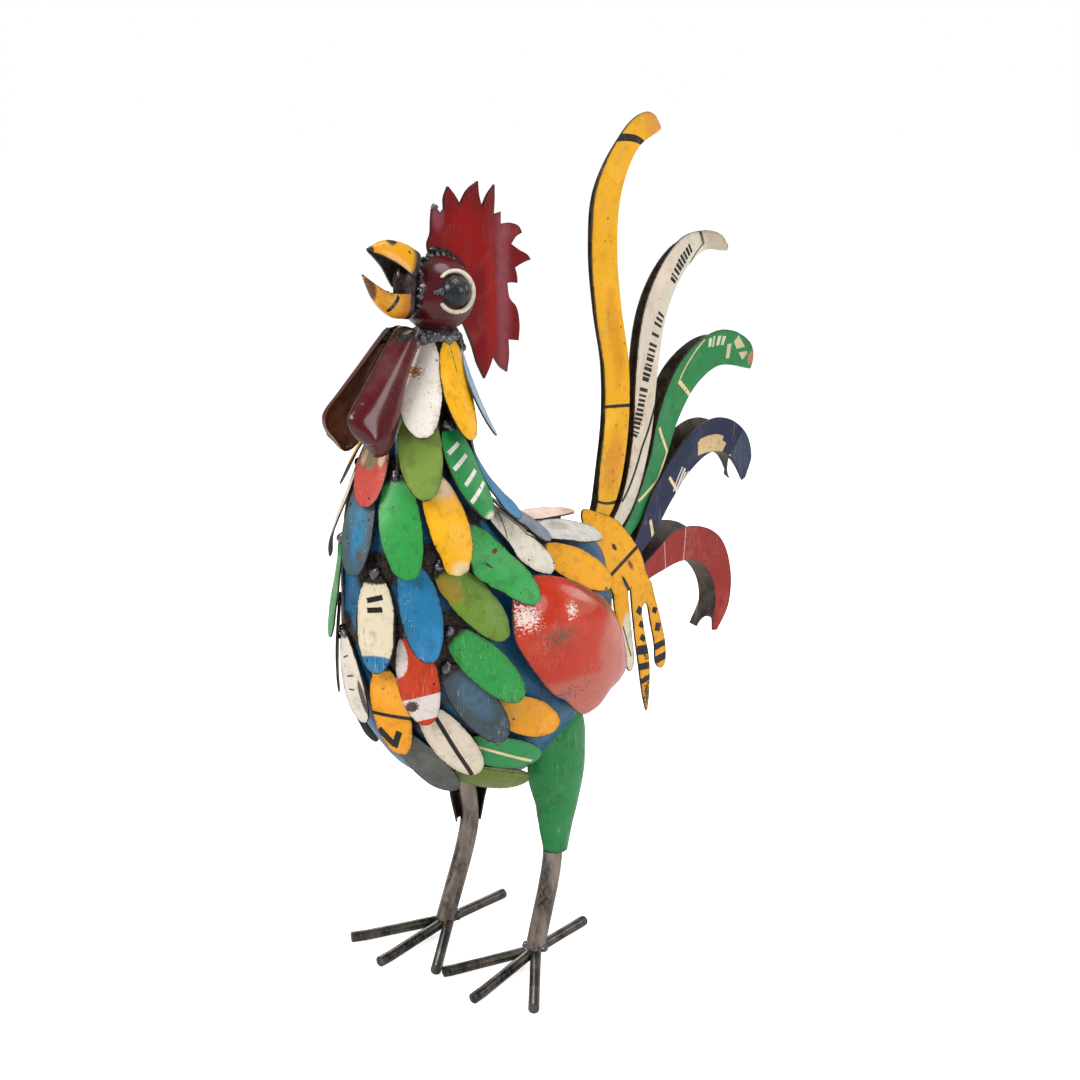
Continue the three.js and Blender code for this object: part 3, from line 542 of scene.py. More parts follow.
def worn_paint(g, source):
    """Old enamel on sheet steel: faded tones, grime, scratches, pits, chipped rims, a darker band along the
    cut edges, a dark edge line with painted edge shade, and weld soot.
    """
    place = source["Place"]
    broad = g.noise(place, 22.0, 3.0, 0.6)
    middle = g.noise(place, 95.0, 5.0, 0.65)
    fine = g.noise(place, 420.0, 3.0, 0.6)
    dirt = source["Dirt"]
    wear = source["Wear"]
    paler = g.mix(0.05, g.mix(1.0, source["Paint"], (1.22, 1.2, 1.2, 1), "MULTIPLY"), linear(0xE8E0D2))
    deeper = g.mix(1.0, source["Paint"], (0.66, 0.62, 0.58, 1), "MULTIPLY")
    colour = g.mix(g.ramp(broad, 0.52, 0.72, 0.0, 0.8), source["Paint"], paler)
    colour = g.mix(g.times(g.ramp(middle, 0.50, 0.66), dirt), colour, deeper)
    stain = g.noise(place, 60.0, 6.0, 0.72, 0.8)
    stain_mask = g.times(g.ramp(stain, 0.60, 0.70), g.times(dirt, 0.75))
    colour = g.mix(stain_mask, colour, g.mix(0.55, source["Paint"], linear(0x6B4020)))
    chip_noise = g.noise(place, 190.0, 4.0, 0.65)
    masks = []
    for turn, amount in SCRATCHES:
        hairs = g.noise(g.stretch(place, (1.0, 1.0, 0.035), turn), 520.0, 1.0, 0.4)
        gate = g.ramp(g.noise(place, 35.0 + 10.0 * amount, 1.0), 0.48, 0.6)
        line = g.ramp(g.math("ABSOLUTE", g.minus(hairs, 0.5)), 0.012, 0.002)
        masks.append(g.times(g.times(line, gate), g.times(wear, amount)))
    colour = g.mix(masks[0], colour, linear(0x2B2520))
    colour = g.mix(masks[1], colour, linear(0xCFC8BC))
    shaken = g.scaled(place, g.plus(1.0, g.times(fine, 0.006)))
    pits = g.add("ShaderNodeTexVoronoi", {"Vector": shaken, "Scale": 210.0})
    chosen = g.ramp(g.add("ShaderNodeSeparateColor", {0: pits.outputs["Color"]}).outputs[0], 0.93, 0.94)
    ragged = g.plus(pits.outputs["Distance"], g.times(g.minus(chip_noise, 0.5), 0.7))
    pit_mask = g.times(g.ramp(ragged, 0.24, 0.12), chosen)
    pit_mask = g.times(pit_mask, g.times(wear, 1.2), clamp=True)
    colour = g.mix(pit_mask, colour, linear(0x33261D))
    bite = g.plus(g.times(chip_noise, g.times(wear, 3.6 * MM)), -1.1 * MM)
    chip = g.ramp(g.minus(source["Rim"], bite), 0.4 * MM, -0.2 * MM)
    # Darker and blotchy in a band about two millimetres in from the cut edges.
    edge_band_darkening = g.ramp(g.minus(source["Rim"], 2.2 * MM), 1.4 * MM, -1.4 * MM, 0.0, 0.35)
    colour = g.mix(g.times(edge_band_darkening, middle), colour, linear(0x3A2C22))
    colour = g.mix(chip, colour, linear(0x3B332D))
    # A thin dark line along the very edge: the dark cut edge, with painted shade along it.
    rim_line_and_edge_shade = g.ramp(source["Rim"], 0.4 * MM, 0.1 * MM, 0.0, 0.7)
    colour = g.mix(rim_line_and_edge_shade, colour, linear(0x1E1A18))
    burnt = g.plus(source["Soot"], g.times(g.minus(middle, 0.5), 0.9))
    burnt = g.times(g.ramp(burnt, 0.28, 0.72), g.ramp(source["Soot"], 0.0, 0.12))
    scorched = g.mix(g.ramp(fine, 0.35, 0.65), linear(0x14110F), linear(0x463B36))
    colour = g.mix(burnt, colour, scorched)
    dusty_inside = g.mix(0.3, source["Inside"], linear(0x8E857C))
    back = g.mix(g.ramp(middle, 0.4, 0.62), source["Inside"], dusty_inside)
    colour = g.mix(source["Back"], colour, back)
    bare = g.math("MAXIMUM", chip, g.times(burnt, 0.5))
    bare = g.math("MAXIMUM", bare, g.times(source["Back"], 0.4))
    roughness = g.plus(source["Gloss"], g.ramp(middle, 0.4, 0.7, 0.0, 0.14))
    roughness = g.plus(roughness, g.times(g.math("MAXIMUM", stain_mask, pit_mask), 0.3))
    roughness = g.plus(roughness, g.times(source["Back"], 0.2))
    height = g.times(fine, 0.18)
    height = g.plus(height, g.times(middle, 0.3))
    for mask, depth in ((masks[0], -0.5), (masks[1], -0.3), (pit_mask, -0.8), (chip, -0.9), (burnt, 0.25)):
        height = g.plus(height, g.times(mask, depth))
    metallic = g.times(bare, 0.7)
    return {"Color": colour, "Roughness": roughness, "Metallic": metallic, "Height": height}


RELIEF = 0.6 * MM
SURFACE = [("Color", COLOUR), ("Roughness", FLOAT), ("Metallic", FLOAT), ("Height", FLOAT)]
STROKE = group("Painted stroke", [
    ("Place", VECTOR, (0, 0, 0)), ("Start", VECTOR, (0, 0, 0)), ("End", VECTOR, (0, 0.1, 0)),
    ("Width", FLOAT, 0.02), ("Raggedness", FLOAT, 0.01)], [("Mask", FLOAT)], stroke_mask)
PATCH = group("Ragged patch", [
    ("Place", VECTOR, (0, 0, 0)), ("Centre", VECTOR, (0, 0, 0)), ("Size", VECTOR, (1, 1, 1)),
    ("Raggedness", FLOAT, 1.0), ("Softness", FLOAT, 0.1), ("Grain", FLOAT, 10.0), ("Cover", FLOAT, 1.0)],
    [("Mask", FLOAT)], patch_mask)
BARS = group("Row of bars", [
    ("Place", VECTOR, (0, 0, 0)), ("Start", VECTOR, (0, 0, 0)), ("End", VECTOR, (0, 0.1, 0)),
    ("Height", FLOAT, 0.1), ("Spacing", FLOAT, 0.04), ("Kept", FLOAT, 0.85)], [("Mask", FLOAT)], bars_mask)
STEEL = group("Bare steel", [
    ("Place", VECTOR, (0, 0, 0)), ("Dark", COLOUR, linear(0x2E2823)), ("Light", COLOUR, linear(0x8D8176)),
    ("Rust", FLOAT, 0.6)], SURFACE, bare_steel)
PAINT = group("Worn paint", [
    ("Place", VECTOR, (0, 0, 0)), ("Paint", COLOUR, linear(0x888888)), ("Wear", FLOAT, 0.5),
    ("Dirt", FLOAT, 0.4), ("Gloss", FLOAT, 0.35), ("Rim", FLOAT, 1.0), ("Soot", FLOAT, 0.0),
    ("Back", FLOAT, 0.0), ("Inside", COLOUR, linear(0x463930))], SURFACE, worn_paint)


def surface_finish(name, make, coat=0.0, bump=0.25, shine=0.5):
    """A material whose Principled BSDF reads the four outputs of the group that make() places."""
    material = bpy.data.materials.new(name)
    material.use_nodes = True
    t = Tree(material.node_tree)
    shader = material.node_tree.nodes["Principled BSDF"]
    result = make(t).outputs
    t.feed(shader.inputs["Base Color"], result["Color"])
    t.feed(shader.inputs["Roughness"], result["Roughness"])
    t.feed(shader.inputs["Metallic"], result["Metallic"])
    shader.inputs["Coat Weight"].default_value = coat
    shader.inputs["Coat Roughness"].default_value = 0.12
    shader.inputs["Specular IOR Level"].default_value = shine
    heights = {"Height": result["Height"], "Strength": bump, "Distance": RELIEF}
    t.feed(shader.inputs["Normal"], t.add("ShaderNodeBump", heights).outputs[0])
    return material


def use(t, tree, **inputs):
    """Places a node group with its own values."""
    return t.add("ShaderNodeGroup", inputs, node_tree=tree)


def stroke(start, end, width, colour, ragged=1.0):
    """A mark of a straight stroke; places are (across, along) in millimetres on the sheet."""
    return {"kind": "stroke", "start": start, "end": end, "width": width, "colour": colour, "ragged": ragged}


def patch(centre, size, colour, ragged=0.9, soft=0.12, grain=9.0, cover=1.0):
    """A mark of a ragged oval; centre and half sizes are in millimetres on the sheet.

    ragged is how far its edge strays, soft how wide it fades, grain how fine it breaks up, and cover
    how much of it is there.
    """
    return {"kind": "patch", "centre": centre, "size": size, "colour": colour, "ragged": ragged,
            "soft": soft, "grain": grain, "cover": cover}


def specks(centre, size, colour, cover=0.2, grain=6.0):
    """A mark of fine specks that thin out from the centre."""
    return patch(centre, size, colour, 4.0, 0.12, grain, cover)


def bars(start, end, height, spacing, colour, kept=0.85):
    """A mark of a row of short plain bars from start to end."""
    return {"kind": "bars", "start": start, "end": end, "height": height, "spacing": spacing,
            "colour": colour, "kept": kept}


def on_sheet(across, along):
    """The UV of a place in millimetres on the sheet."""
    return (across / SHEET_UV, along / SHEET_UV, 0)


def draw_marks(t, colour, marks):
    """The colour with each mark laid over it in turn."""
    place = t.add("ShaderNodeUVMap", uv_map="sheet").outputs[0]
    for mark in marks:
        if mark["kind"] == "stroke":
            mask = use(t, STROKE, Place=place, Start=on_sheet(*mark["start"]), End=on_sheet(*mark["end"]),
                       Width=mark["width"] / SHEET_UV, Raggedness=mark["ragged"] / SHEET_UV)
        elif mark["kind"] == "bars":
            mask = use(t, BARS, Place=place, Start=on_sheet(*mark["start"]), End=on_sheet(*mark["end"]),
                       Height=mark["height"] / SHEET_UV, Spacing=mark["spacing"] / SHEET_UV,
                       Kept=mark["kept"])
        else:
            size = (*on_sheet(*mark["size"])[:2], 1)
            mask = use(t, PATCH, Place=place, Centre=on_sheet(*mark["centre"]), Size=size,
                       Raggedness=mark["ragged"], Softness=mark["soft"], Grain=mark["grain"] * 10,
                       Cover=mark["cover"])
        colour = t.mix(mask.outputs[0], colour, linear(mark["colour"]))
    return colour


def painted(name, colour, marks=(), wear=0.5, dirt=0.4, gloss=0.36, coat=0.06, sheet=True,
            inside=0x463930):
    """Worn enamel in one colour with its marks; sheet pieces also have rims and bare backs."""
    def make(t):
        place = t.add("ShaderNodeTexCoord").outputs["Object"]
        paint = draw_marks(t, linear(colour), marks) if marks else linear(colour)
        fields = {"Soot": t.field("soot")}
        if sheet:
            fields["Rim"] = t.field("rim")
            fields["Back"] = t.field("back")
            fields["Inside"] = linear(inside)
        return use(t, PAINT, Place=place, Paint=paint, Wear=wear, Dirt=dirt, Gloss=gloss, **fields)

    return surface_finish(name, make, coat=coat, shine=0.2)


def steel(name, dark, light, rust, coat=0.0, bump=0.35):
    """Bare steel between a dark and a light tone, with its share of rust and a coat of old oil."""
    def make(t):
        place = t.add("ShaderNodeTexCoord").outputs["Object"]
        return use(t, STEEL, Place=place, Dark=linear(dark), Light=linear(light), Rust=rust)

    return surface_finish(name, make, coat=coat, bump=bump)


# ------------------------------------------------------------------ body
# Rows of the body: height, its front and back in the middle plane, and half its width.
BODY = [
    (152, -2, 2, 1), (158, -38, 32, 25), (175, -78, 58, 48), (200, -103, 82, 66), (230, -121, 102, 78),
    (260, -131, 116, 82), (290, -136, 120, 80), (320, -138, 116, 74), (340, -138, 100, 68),
    (350, -137, 72, 64), (362, -135, 22, 60), (390, -128, -22, 50), (430, -114, -36, 38),
    (470, -92, -38, 27), (505, -73, -38, 18), (512, -70, -40, 15),
]
BODY_BOTTOM, BODY_TOP = BODY[0][0], BODY[-1][0]
body_section = smooth_rows(BODY)
WELDS = []


def weld(place, out, size):
    """Notes a weld lump at a place in millimetres, facing out."""
    WELDS.append((*place, *out, size))


def body_point(angle, z):
    """The body's surface at an angle from the breast towards the left side, and a height."""
    section = body_section(z)
    front, back, half = section[..., 0], section[..., 1], section[..., 2]
    a = np.radians(angle)
    length = (back - front) / 2
    x = half * np.sin(a)
    y = (front + back) / 2 - length * np.cos(a)
    return np.stack([x, y, np.broadcast_to(z, x.shape)], axis=-1)


def body_frame(angle, z):
    """Point, outward normal and surface directions of the body."""
    low = np.maximum(BODY_BOTTOM, z - 0.5)
    high = np.minimum(BODY_TOP, z + 0.5)
    by_angle = body_point(angle + 0.5, z) - body_point(angle - 0.5, z)
    by_height = (body_point(angle, high) - body_point(angle, low)) / (high - low)[..., None]
    normal = unit(np.cross(by_angle, by_height))
    up = unit(np.array([0.0, 0, 1]) - normal * normal[..., 2:])
    return {"point": body_point(angle, z), "normal": normal, "by_angle": by_angle,
            "by_height": by_height, "up": up, "forward": np.cross(normal, up)}


def surface_step(f, step):
    """The change of angle and height that moves a surface point by the tangent vector step."""
    aa = np.sum(f["by_angle"] ** 2, axis=-1)
    ah = np.sum(f["by_angle"] * f["by_height"], axis=-1)
    hh = np.sum(f["by_height"] ** 2, axis=-1)
    sa = np.sum(f["by_angle"] * step, axis=-1)
    sh = np.sum(f["by_height"] * step, axis=-1)
    det = aa * hh - ah * ah
    return (sa * hh - sh * ah) / det, (sh * aa - sa * ah) / det


def on_body(z):
    return np.clip(z, BODY_BOTTOM + 1, BODY_TOP - 1)


def soot_near_welds(points, reach=27):
    """How burnt each point is by the welds noted so far."""
    spots = np.array([w[:3] for w in WELDS])
    flat = points.reshape(-1, 3)
    nearest = np.full(len(flat), 1e9)
    for spot in spots:
        nearest = np.minimum(nearest, np.linalg.norm(flat - spot, axis=1))
    return smoothstep(reach, reach * 0.25, nearest).reshape(points.shape[:-1])


def build_body():
    across, levels = 120, 96
    share = np.linspace(0, 1, levels)
    closer_below = 0.35 * share + 0.65 * share ** 1.25
    heights = BODY_BOTTOM + (BODY_TOP - BODY_BOTTOM) * closer_below
    angles = np.linspace(0, 360, across, endpoint=False)
    grid_z, grid_a = np.meshgrid(heights, angles, indexing="ij")
    f = body_frame(grid_a, grid_z)
    points = f["point"] + f["normal"] * dents(f["point"], seed=11, size=13, depth=0.9)[..., None]
    ends = np.stack([points[-1].mean(axis=0), points[0].mean(axis=0)])
    flat = np.concatenate([points.reshape(-1, 3), ends])
    faces = grid_faces(levels, across, wrap=True)
    top, bottom = len(flat) - 2, len(flat) - 1
    last = (levels - 1) * across
    for j in range(across):
        k = (j + 1) % across
        faces.append([last + j, last + k, top])
        faces.append([k, j, bottom])
    piece = build_mesh("body_skin", flat, faces, soot=soot_near_welds(flat))
    finish = painted("blue_body_paint", 0x225F88, wear=0.8, dirt=0.9, gloss=0.34, sheet=False)
    fit(piece, finish, "body_blue", "body")


# ------------------------------------------------------------------ plate feathers
def climb(tip, length, steps=12):
    """Angles and heights under a plate, from its hanging tip up to its welded root."""
    angle, z, lean = tip
    places = [(angle, z)]
    a = math.radians(lean)
    for _ in range(steps):
        f = body_frame(np.array(places[-1][0], float), np.array(places[-1][1], float))
        step = (f["up"] * math.cos(a) + f["forward"] * math.sin(a)) * length / steps
        da, dz = surface_step(f, step)
        places.append((places[-1][0] + float(da), float(on_body(places[-1][1] + dz))))
    return np.array(places)


def place_at(places, v):
    """The angle and height at v, from 0 at the root to 1 at the tip."""
    t = np.clip(1 - v, 0, 1) * (len(places) - 1)
    steps = np.arange(len(places))
    return np.interp(t, steps, places[:, 0]), np.interp(t, steps, places[:, 1])


def plate_surface(tip, length, width, lift, wrap, seed):
    """A pointed oval that hangs on the body; wrap is how far it follows the body's roundness."""
    places = climb(tip, length)

    def surface(u, v):
        swing = 0.012 + 0.976 * v
        t = 0.5 - 0.5 * np.cos(math.pi * swing)
        angle, z = place_at(places, t)
        f = body_frame(angle, z)
        ahead = body_point(*place_at(places, np.minimum(1, t + 0.05)))
        behind = body_point(*place_at(places, np.maximum(0, t - 0.05)))
        across = unit(np.cross(ahead - behind, f["normal"]))
        half = width / 2 * np.sin(math.pi * swing) ** 0.94
        uneven = 1 + 0.012 * wobble(seed, v) * (u < 0) + 0.012 * wobble(seed + 50, v) * (u > 0)
        side = -across * (half * uneven * u)[..., None]
        da, dz = surface_step(f, side)
        around = body_frame(angle + da, on_body(z + dz))
        rise = PLATE["root_lift"] + (PLATE["tip_lift"] + lift) * t ** 1.2
        rise = (rise + 0.5 * wobble(seed + 90, t, 3) * t)[..., None]
        wrapped = around["point"] + around["normal"] * rise
        flat = f["point"] + side + f["normal"] * rise
        return flat * (1 - wrap) + wrapped * wrap

    return surface


CREAM, GOLD, OLIVE, GREEN, TEAL = 0xEFE4D2, 0xFDB916, 0x7F9B45, 0x36A04C, 0x4C5F66
BLUE, PINK, SLATE, ORANGE, RED = 0x2A7CAA, 0xCB4F43, 0x46575E, 0xF5A21C, 0xCB3F1B
BLACK, RUST, WHITE, PALE = 0x221E1C, 0xA5672F, 0xEDE8DF, 0xF6DFA6
GREY_BLUE, LIGHT_BLUE = 0x8C97A4, 0xA9C2D8

# Every plate feather: tip (angle from the breast, height, lean towards the tail), its colour and
# marks on the sheet, and where it differs, its length, width and lift at the tip.
PLATES = {
    "throat_feather_1": {
        "tip": (9, 395, 12), "length": 64, "colour": PINK, "slot": "faded_red", "marks": [
            patch((0, 12), (26, 24), 0x9A6E55, 1.1, 0.2), patch((-8, 22), (4, 12), 0xC9B08F),
            patch((10, 24), (3.5, 13), 0xD8B99A), patch((0, 30), (5, 8), 0x8B7C66)]},
    "throat_feather_2": {
        "tip": (5, 348, 9), "colour": TEAL, "slot": "teal", "wear": 0.8, "marks": [
            patch((2, 46), (7, 20), 0x2F7DA6, 2.4, 0.5, 6.0), patch((-6, 30), (4, 12), 0x3C6F88, 1.6, 0.4),
            specks((5, 62), (6, 9), 0x5E4F45, 0.4)]},
    "breast_feather_1": {
        "tip": (13, 279, 2), "length": 72, "colour": 0xE9DABC, "slot": "cream", "wear": 1.0, "marks": [
            patch((0, 2), (18, 6), 0x2C2622), stroke((-6, 20), (6, 17), 4, BLACK),
            stroke((-6, 27), (6, 26), 4, BLACK), patch((-15, 40), (1.2, 26), BLACK, 1.4),
            patch((15, 46), (1.0, 22), BLACK, 1.4), patch((0, 74), (26, 14), 0x1F78AA, 0.15, 0.05)]},
    "breast_feather_2": {
        "tip": (-1, 236, 13), "length": 68, "colour": 0xE6DCCB, "slot": "cream", "wear": 0.9, "marks": [
            stroke((-6, 20), (3, 18), 1.4, 0x3B342E), stroke((-5, 34), (5, 33), 1.4, 0x3B342E),
            stroke((-6, 44), (2, 44), 1.2, 0x3B342E), patch((10, 50), (3, 14), 0x5B4A3C, 1.5)]},
    "breast_feather_3": {
        "tip": (16, 216, 8), "length": 70, "lift": 2, "colour": ORANGE, "slot": "golden", "marks": [
            stroke((-18, 36), (18, 42), 3, BLACK, 0.5), stroke((-13, 50), (-3, 64), 6, BLACK),
            stroke((4, 52), (-4, 66), 5, BLACK)]},
    "left_collar_feather_1": {
        "tip": (50, 441, 1), "length": 78, "width": 29, "lift": 3, "soot": 7, "colour": 0xEEE5DA,
        "slot": "cream", "marks": [specks((-5, 27), (8, 6), RUST, 0.6)]},
    "left_collar_feather_2": {
        "tip": (94, 438, -10), "length": 77, "width": 24.5, "lift": 6, "soot": 7, "colour": GOLD,
        "slot": "golden", "marks": [stroke((-1, 6), (1, 26), 0.6, BLACK, 1.4)]},
    "left_neck_feather_1": {"tip": (54, 401, 3), "colour": OLIVE, "slot": "olive"},
    "left_neck_feather_2": {
        "tip": (96, 381, 8), "lift": 3, "colour": 0x259148, "slot": "green", "marks": [
            stroke((-10, 20), (3, 15), 3.2, WHITE, 0.4), stroke((-12, 32), (6, 25), 3.2, WHITE, 0.4),
            stroke((-9, 45), (9, 38), 3.2, WHITE, 0.4), stroke((-12, 58), (12, 49), 3.2, WHITE, 0.4),
            patch((2, 77), (8, 7), 0xE4DFC4, 0.9, 0.3)]},
    "left_shoulder_feather_1": {"tip": (34, 348, 10), "soot": 16, "colour": GREEN, "slot": "green"},
    "left_shoulder_feather_2": {
        "tip": (57, 349, 12), "soot": 16, "colour": GOLD, "slot": "golden", "marks": [
            patch((6, 6), (14, 14), 0xE9C9A0, 0.8, 0.35), patch((1, 74), (7, 7), PALE, 1.4, 0.5)]},
    "left_shoulder_feather_3": {
        "tip": (76, 320, 33), "lift": 12, "wrap": 0.25, "colour": GREEN, "slot": "green", "marks": [
            patch((-3, 34), (0.9, 4), BLACK, 1.2), patch((8, 30), (2.5, 2.5), 0x6B2A22, 1.2)]},
    "left_back_feather_1": {
        "tip": (91, 335, 23), "wrap": 0.25, "colour": 0xE9E1D0, "slot": "cream", "marks": [
            stroke((9, 14), (12, 66), 1.3, BLACK, 0.3), stroke((9, 16), (-13, 32), 1.3, BLACK, 0.3)]},
    "left_back_feather_2": {
        "tip": (132, 340, 52), "length": 64, "lift": 3, "wrap": 0.2, "colour": 0xE6E2DC, "slot": "cream",
        "marks": [patch((5, 30), (6, 10), 0xC6C0B6, 1.6, 0.3)]},
    "left_back_feather_3": {
        "tip": (112, 314, 47), "length": 58, "lift": 12, "wrap": 0.2, "colour": 0xF6AC2E, "slot": "golden"},
    "left_breast_feather_1": {
        "tip": (36, 288, 10), "soot": 16, "colour": BLUE, "slot": "blue", "wear": 0.9, "marks": [
            patch((4, 62), (9, 12), 0x3488BC, 1.0, 0.3)]},
    "left_breast_feather_2": {
        "tip": (65, 298, 36), "soot": 16, "colour": 0x6F9433, "slot": "olive", "marks": [
            patch((-7, 20), (8, 12), 0xA08A2E, 1.2, 0.4)]},
    "left_flank_feather_1": {
        "tip": (31, 241, 10), "length": 70, "colour": RED, "slot": "brick_red", "marks": [
            patch((-13, 16), (9, 17), 0xE2D6CC, 0.5, 0.04), stroke((-20, 60), (20, 57), 18, 0xE6DAD3, 0.6),
            patch((-8, 56), (5, 4), 0x4A3B36, 1.6), patch((0, 75), (14, 6), RED, 0.5)]},
    "left_flank_feather_2": {
        "tip": (68, 253, 43), "lift": 2, "soot": 16, "colour": GREEN, "slot": "green"},
    "left_flank_feather_3": {
        "tip": (62, 222, 36), "soot": 16, "colour": SLATE, "slot": "slate", "wear": 1.0, "marks": [
            patch((2, 34), (8, 20), 0x4C6C80, 1.4, 0.3)]},
    "left_flank_feather_4": {
        "tip": (88, 220, 63), "length": 66, "colour": 0xF4A31E, "slot": "golden", "marks": [
            patch((2, 20), (12, 12), 0xE0A032, 1.6, 0.4)]},
}

# Columns of plates that are one node each; side -1 is the right side.
PLATE_COLUMNS = {
    "nape_feathers": {"side": 1, "slot": "pale_blue", "plates": [
        {"tip": (110, 371, -8), "lift": 9, "colour": 0x4F92BE},
        {"tip": (128, 437, -12), "lift": 12, "colour": LIGHT_BLUE},
        {"tip": (180, 398, 0), "colour": GREY_BLUE}, {"tip": (204, 442, 0), "colour": GOLD},
        {"tip": (221, 382, -6), "colour": GREEN}]},
    "belly_feathers": {"side": 1, "slot": "olive", "plates": [
        {"tip": (88, 168, 65), "colour": 0x6C7F2C, "marks": [stroke((10, 6), (12, 70), 0.8, BLACK, 0.6)]},
        {"tip": (84, 196, 71), "colour": 0x2F9452, "marks": [stroke((2, 14), (-4, 72), 2.4, PALE, 0.6)]},
        {"tip": (50, 194, 33), "colour": 0xEADBC4, "marks": [stroke((4, 4), (-4, 76), 3.4, BLACK, 0.4),
                                                            stroke((4, 6), (16, 10), 3.0, BLACK, 0.4)]},
        {"tip": (33, 176, 27), "colour": 0x5A5C58}]},
    "right_neck_feathers": {"side": -1, "slot": "golden", "plates": [
        {"tip": (50, 441, 1), "colour": GREEN}, {"tip": (51, 401, 3), "colour": GOLD},
        {"tip": (66, 352, 14), "colour": BLUE}]},
    "right_side_feathers": {"side": -1, "slot": "blue", "plates": [
        {"tip": (96, 440, -10), "colour": CREAM}, {"tip": (106, 395, 8), "colour": PINK},
        {"tip": (93, 340, 42), "colour": OLIVE}]},
    "right_breast_feathers": {"side": -1, "slot": "cream", "plates": [
        {"tip": (37, 350, 4), "colour": CREAM}, {"tip": (20, 294, 0), "colour": 0x33903F},
        {"tip": (33, 243, 8), "colour": CREAM}]},
    "right_flank_feathers": {"side": -1, "slot": "green", "plates": [
        {"tip": (62, 297, 37), "colour": GOLD}, {"tip": (66, 255, 43), "colour": SLATE},
        {"tip": (62, 224, 36), "colour": GREEN}]},
}
NECK_PLATE = {"length": 70, "width": 26, "lowest_tip": 430}

# Plates that only finish the sides that carry few solids; right ones have negative angles.
FILLING_PLATES = [
    {"tip": (107, 352, 0), "lift": 2, "colour": GREY_BLUE},
    {"tip": (160, 349, 10), "length": 60, "lift": 3, "colour": 0xE3B592},
    {"tip": (-76, 320, -33), "lift": 12, "colour": RED},
    {"tip": (-134, 347, -53), "length": 62, "colour": CREAM},
    {"tip": (-112, 307, -47), "length": 62, "lift": 13, "colour": BLUE},
    {"tip": (-88, 220, -63), "length": 66, "colour": OLIVE}, {"tip": (150, 214, 20), "colour": BLUE},
    {"tip": (-150, 214, -20), "colour": GOLD}, {"tip": (180, 190, 0), "colour": GREEN},
    {"tip": (-124, 196, -30), "colour": SLATE},
    {"tip": (-50, 194, -33), "colour": GOLD}, {"tip": (-84, 196, -71), "colour": BLUE},
]


def plate_piece(name, spec, seed, side=1):
    """A plate and the weld at its root; side is the side of the body that it ends up on."""
    length = spec.get("length", PLATE["length"])
    width = spec.get("width", PLATE["width"])
    if "slot" not in spec and spec["tip"][1] > NECK_PLATE["lowest_tip"]:
        length, width = NECK_PLATE["length"], NECK_PLATE["width"]
    wrap = spec.get("wrap", PLATE["wrap"])
    surface = plate_surface(spec["tip"], length, width, spec.get("lift", 0), wrap, seed)
    soot = burnt_root(spec.get("soot", PLATE["soot"]))
    piece = sheet_mesh(name, surface, 16, 40, PLATE["thickness"], soot=soot)
    root = surface(np.zeros(1), np.array([0.05]))[0]
    facing = body_frame(*place_at(climb(spec["tip"], length), np.array(0.0)))["normal"]
    to_side = (side, 1, 1)
    weld(root * to_side, facing * to_side, PLATE["weld"])
    return piece


def plate_finish(name, spec):
    return painted(f"{name}_paint", spec["colour"], spec.get("marks", ()), wear=spec.get("wear", 0.75),
                   dirt=spec.get("dirt", 0.6), gloss=0.32)


def joined(name, pieces):
    """Pieces made into one object; each keeps its own material."""
    first = pieces[0]
    with bpy.context.temp_override(active_object=first, selected_editable_objects=pieces):
        bpy.ops.object.join()
    first.name = name
    first.data.name = name
    return first


FIRST_PLATE_SEED = 100


def build_plates():
    seed = FIRST_PLATE_SEED
    for name, spec in PLATES.items():
        seed += 1
        piece = plate_piece(f"{name}_sheet", spec, seed)
        fit(piece, plate_finish(name, spec), spec["slot"], name)
    for name, column in PLATE_COLUMNS.items():
        parts = []
        for number, spec in enumerate(column["plates"], start=1):
            seed += 1
            label = f"{name}_{number}"
            part = plate_piece(label, spec, seed, column["side"])
            if column["side"] < 0:
                twin = mirror(part, f"{label}_right")
                bpy.data.objects.remove(part)
                part = twin
            part.data.materials.append(plate_finish(label, spec))
            parts.append(part)
        fit(joined(f"{name}_sheets", parts), None, column["slot"], name)
    parts = []
    for number, spec in enumerate(FILLING_PLATES, start=1):
        seed += 1
        part = plate_piece(f"filling_feather_{number}", spec, seed)
        part.data.materials.append(plate_finish(f"filling_feather_{number}", spec))
        parts.append(part)
    fit(joined("filling_feathers", parts), None, "green")


# ------------------------------------------------------------------ head
def eye_axes():
    """Unit vectors of the left eye: out of the head, forward, and up."""
    a, b = math.radians(EYE["from_front"]), math.radians(EYE["tilt"])
    out = np.array([math.sin(a) * math.cos(b), -math.cos(a) * math.cos(b), math.sin(b)])
    forward = np.array([-math.cos(a), -math.sin(a), 0])
    return out, forward, np.cross(forward, out)


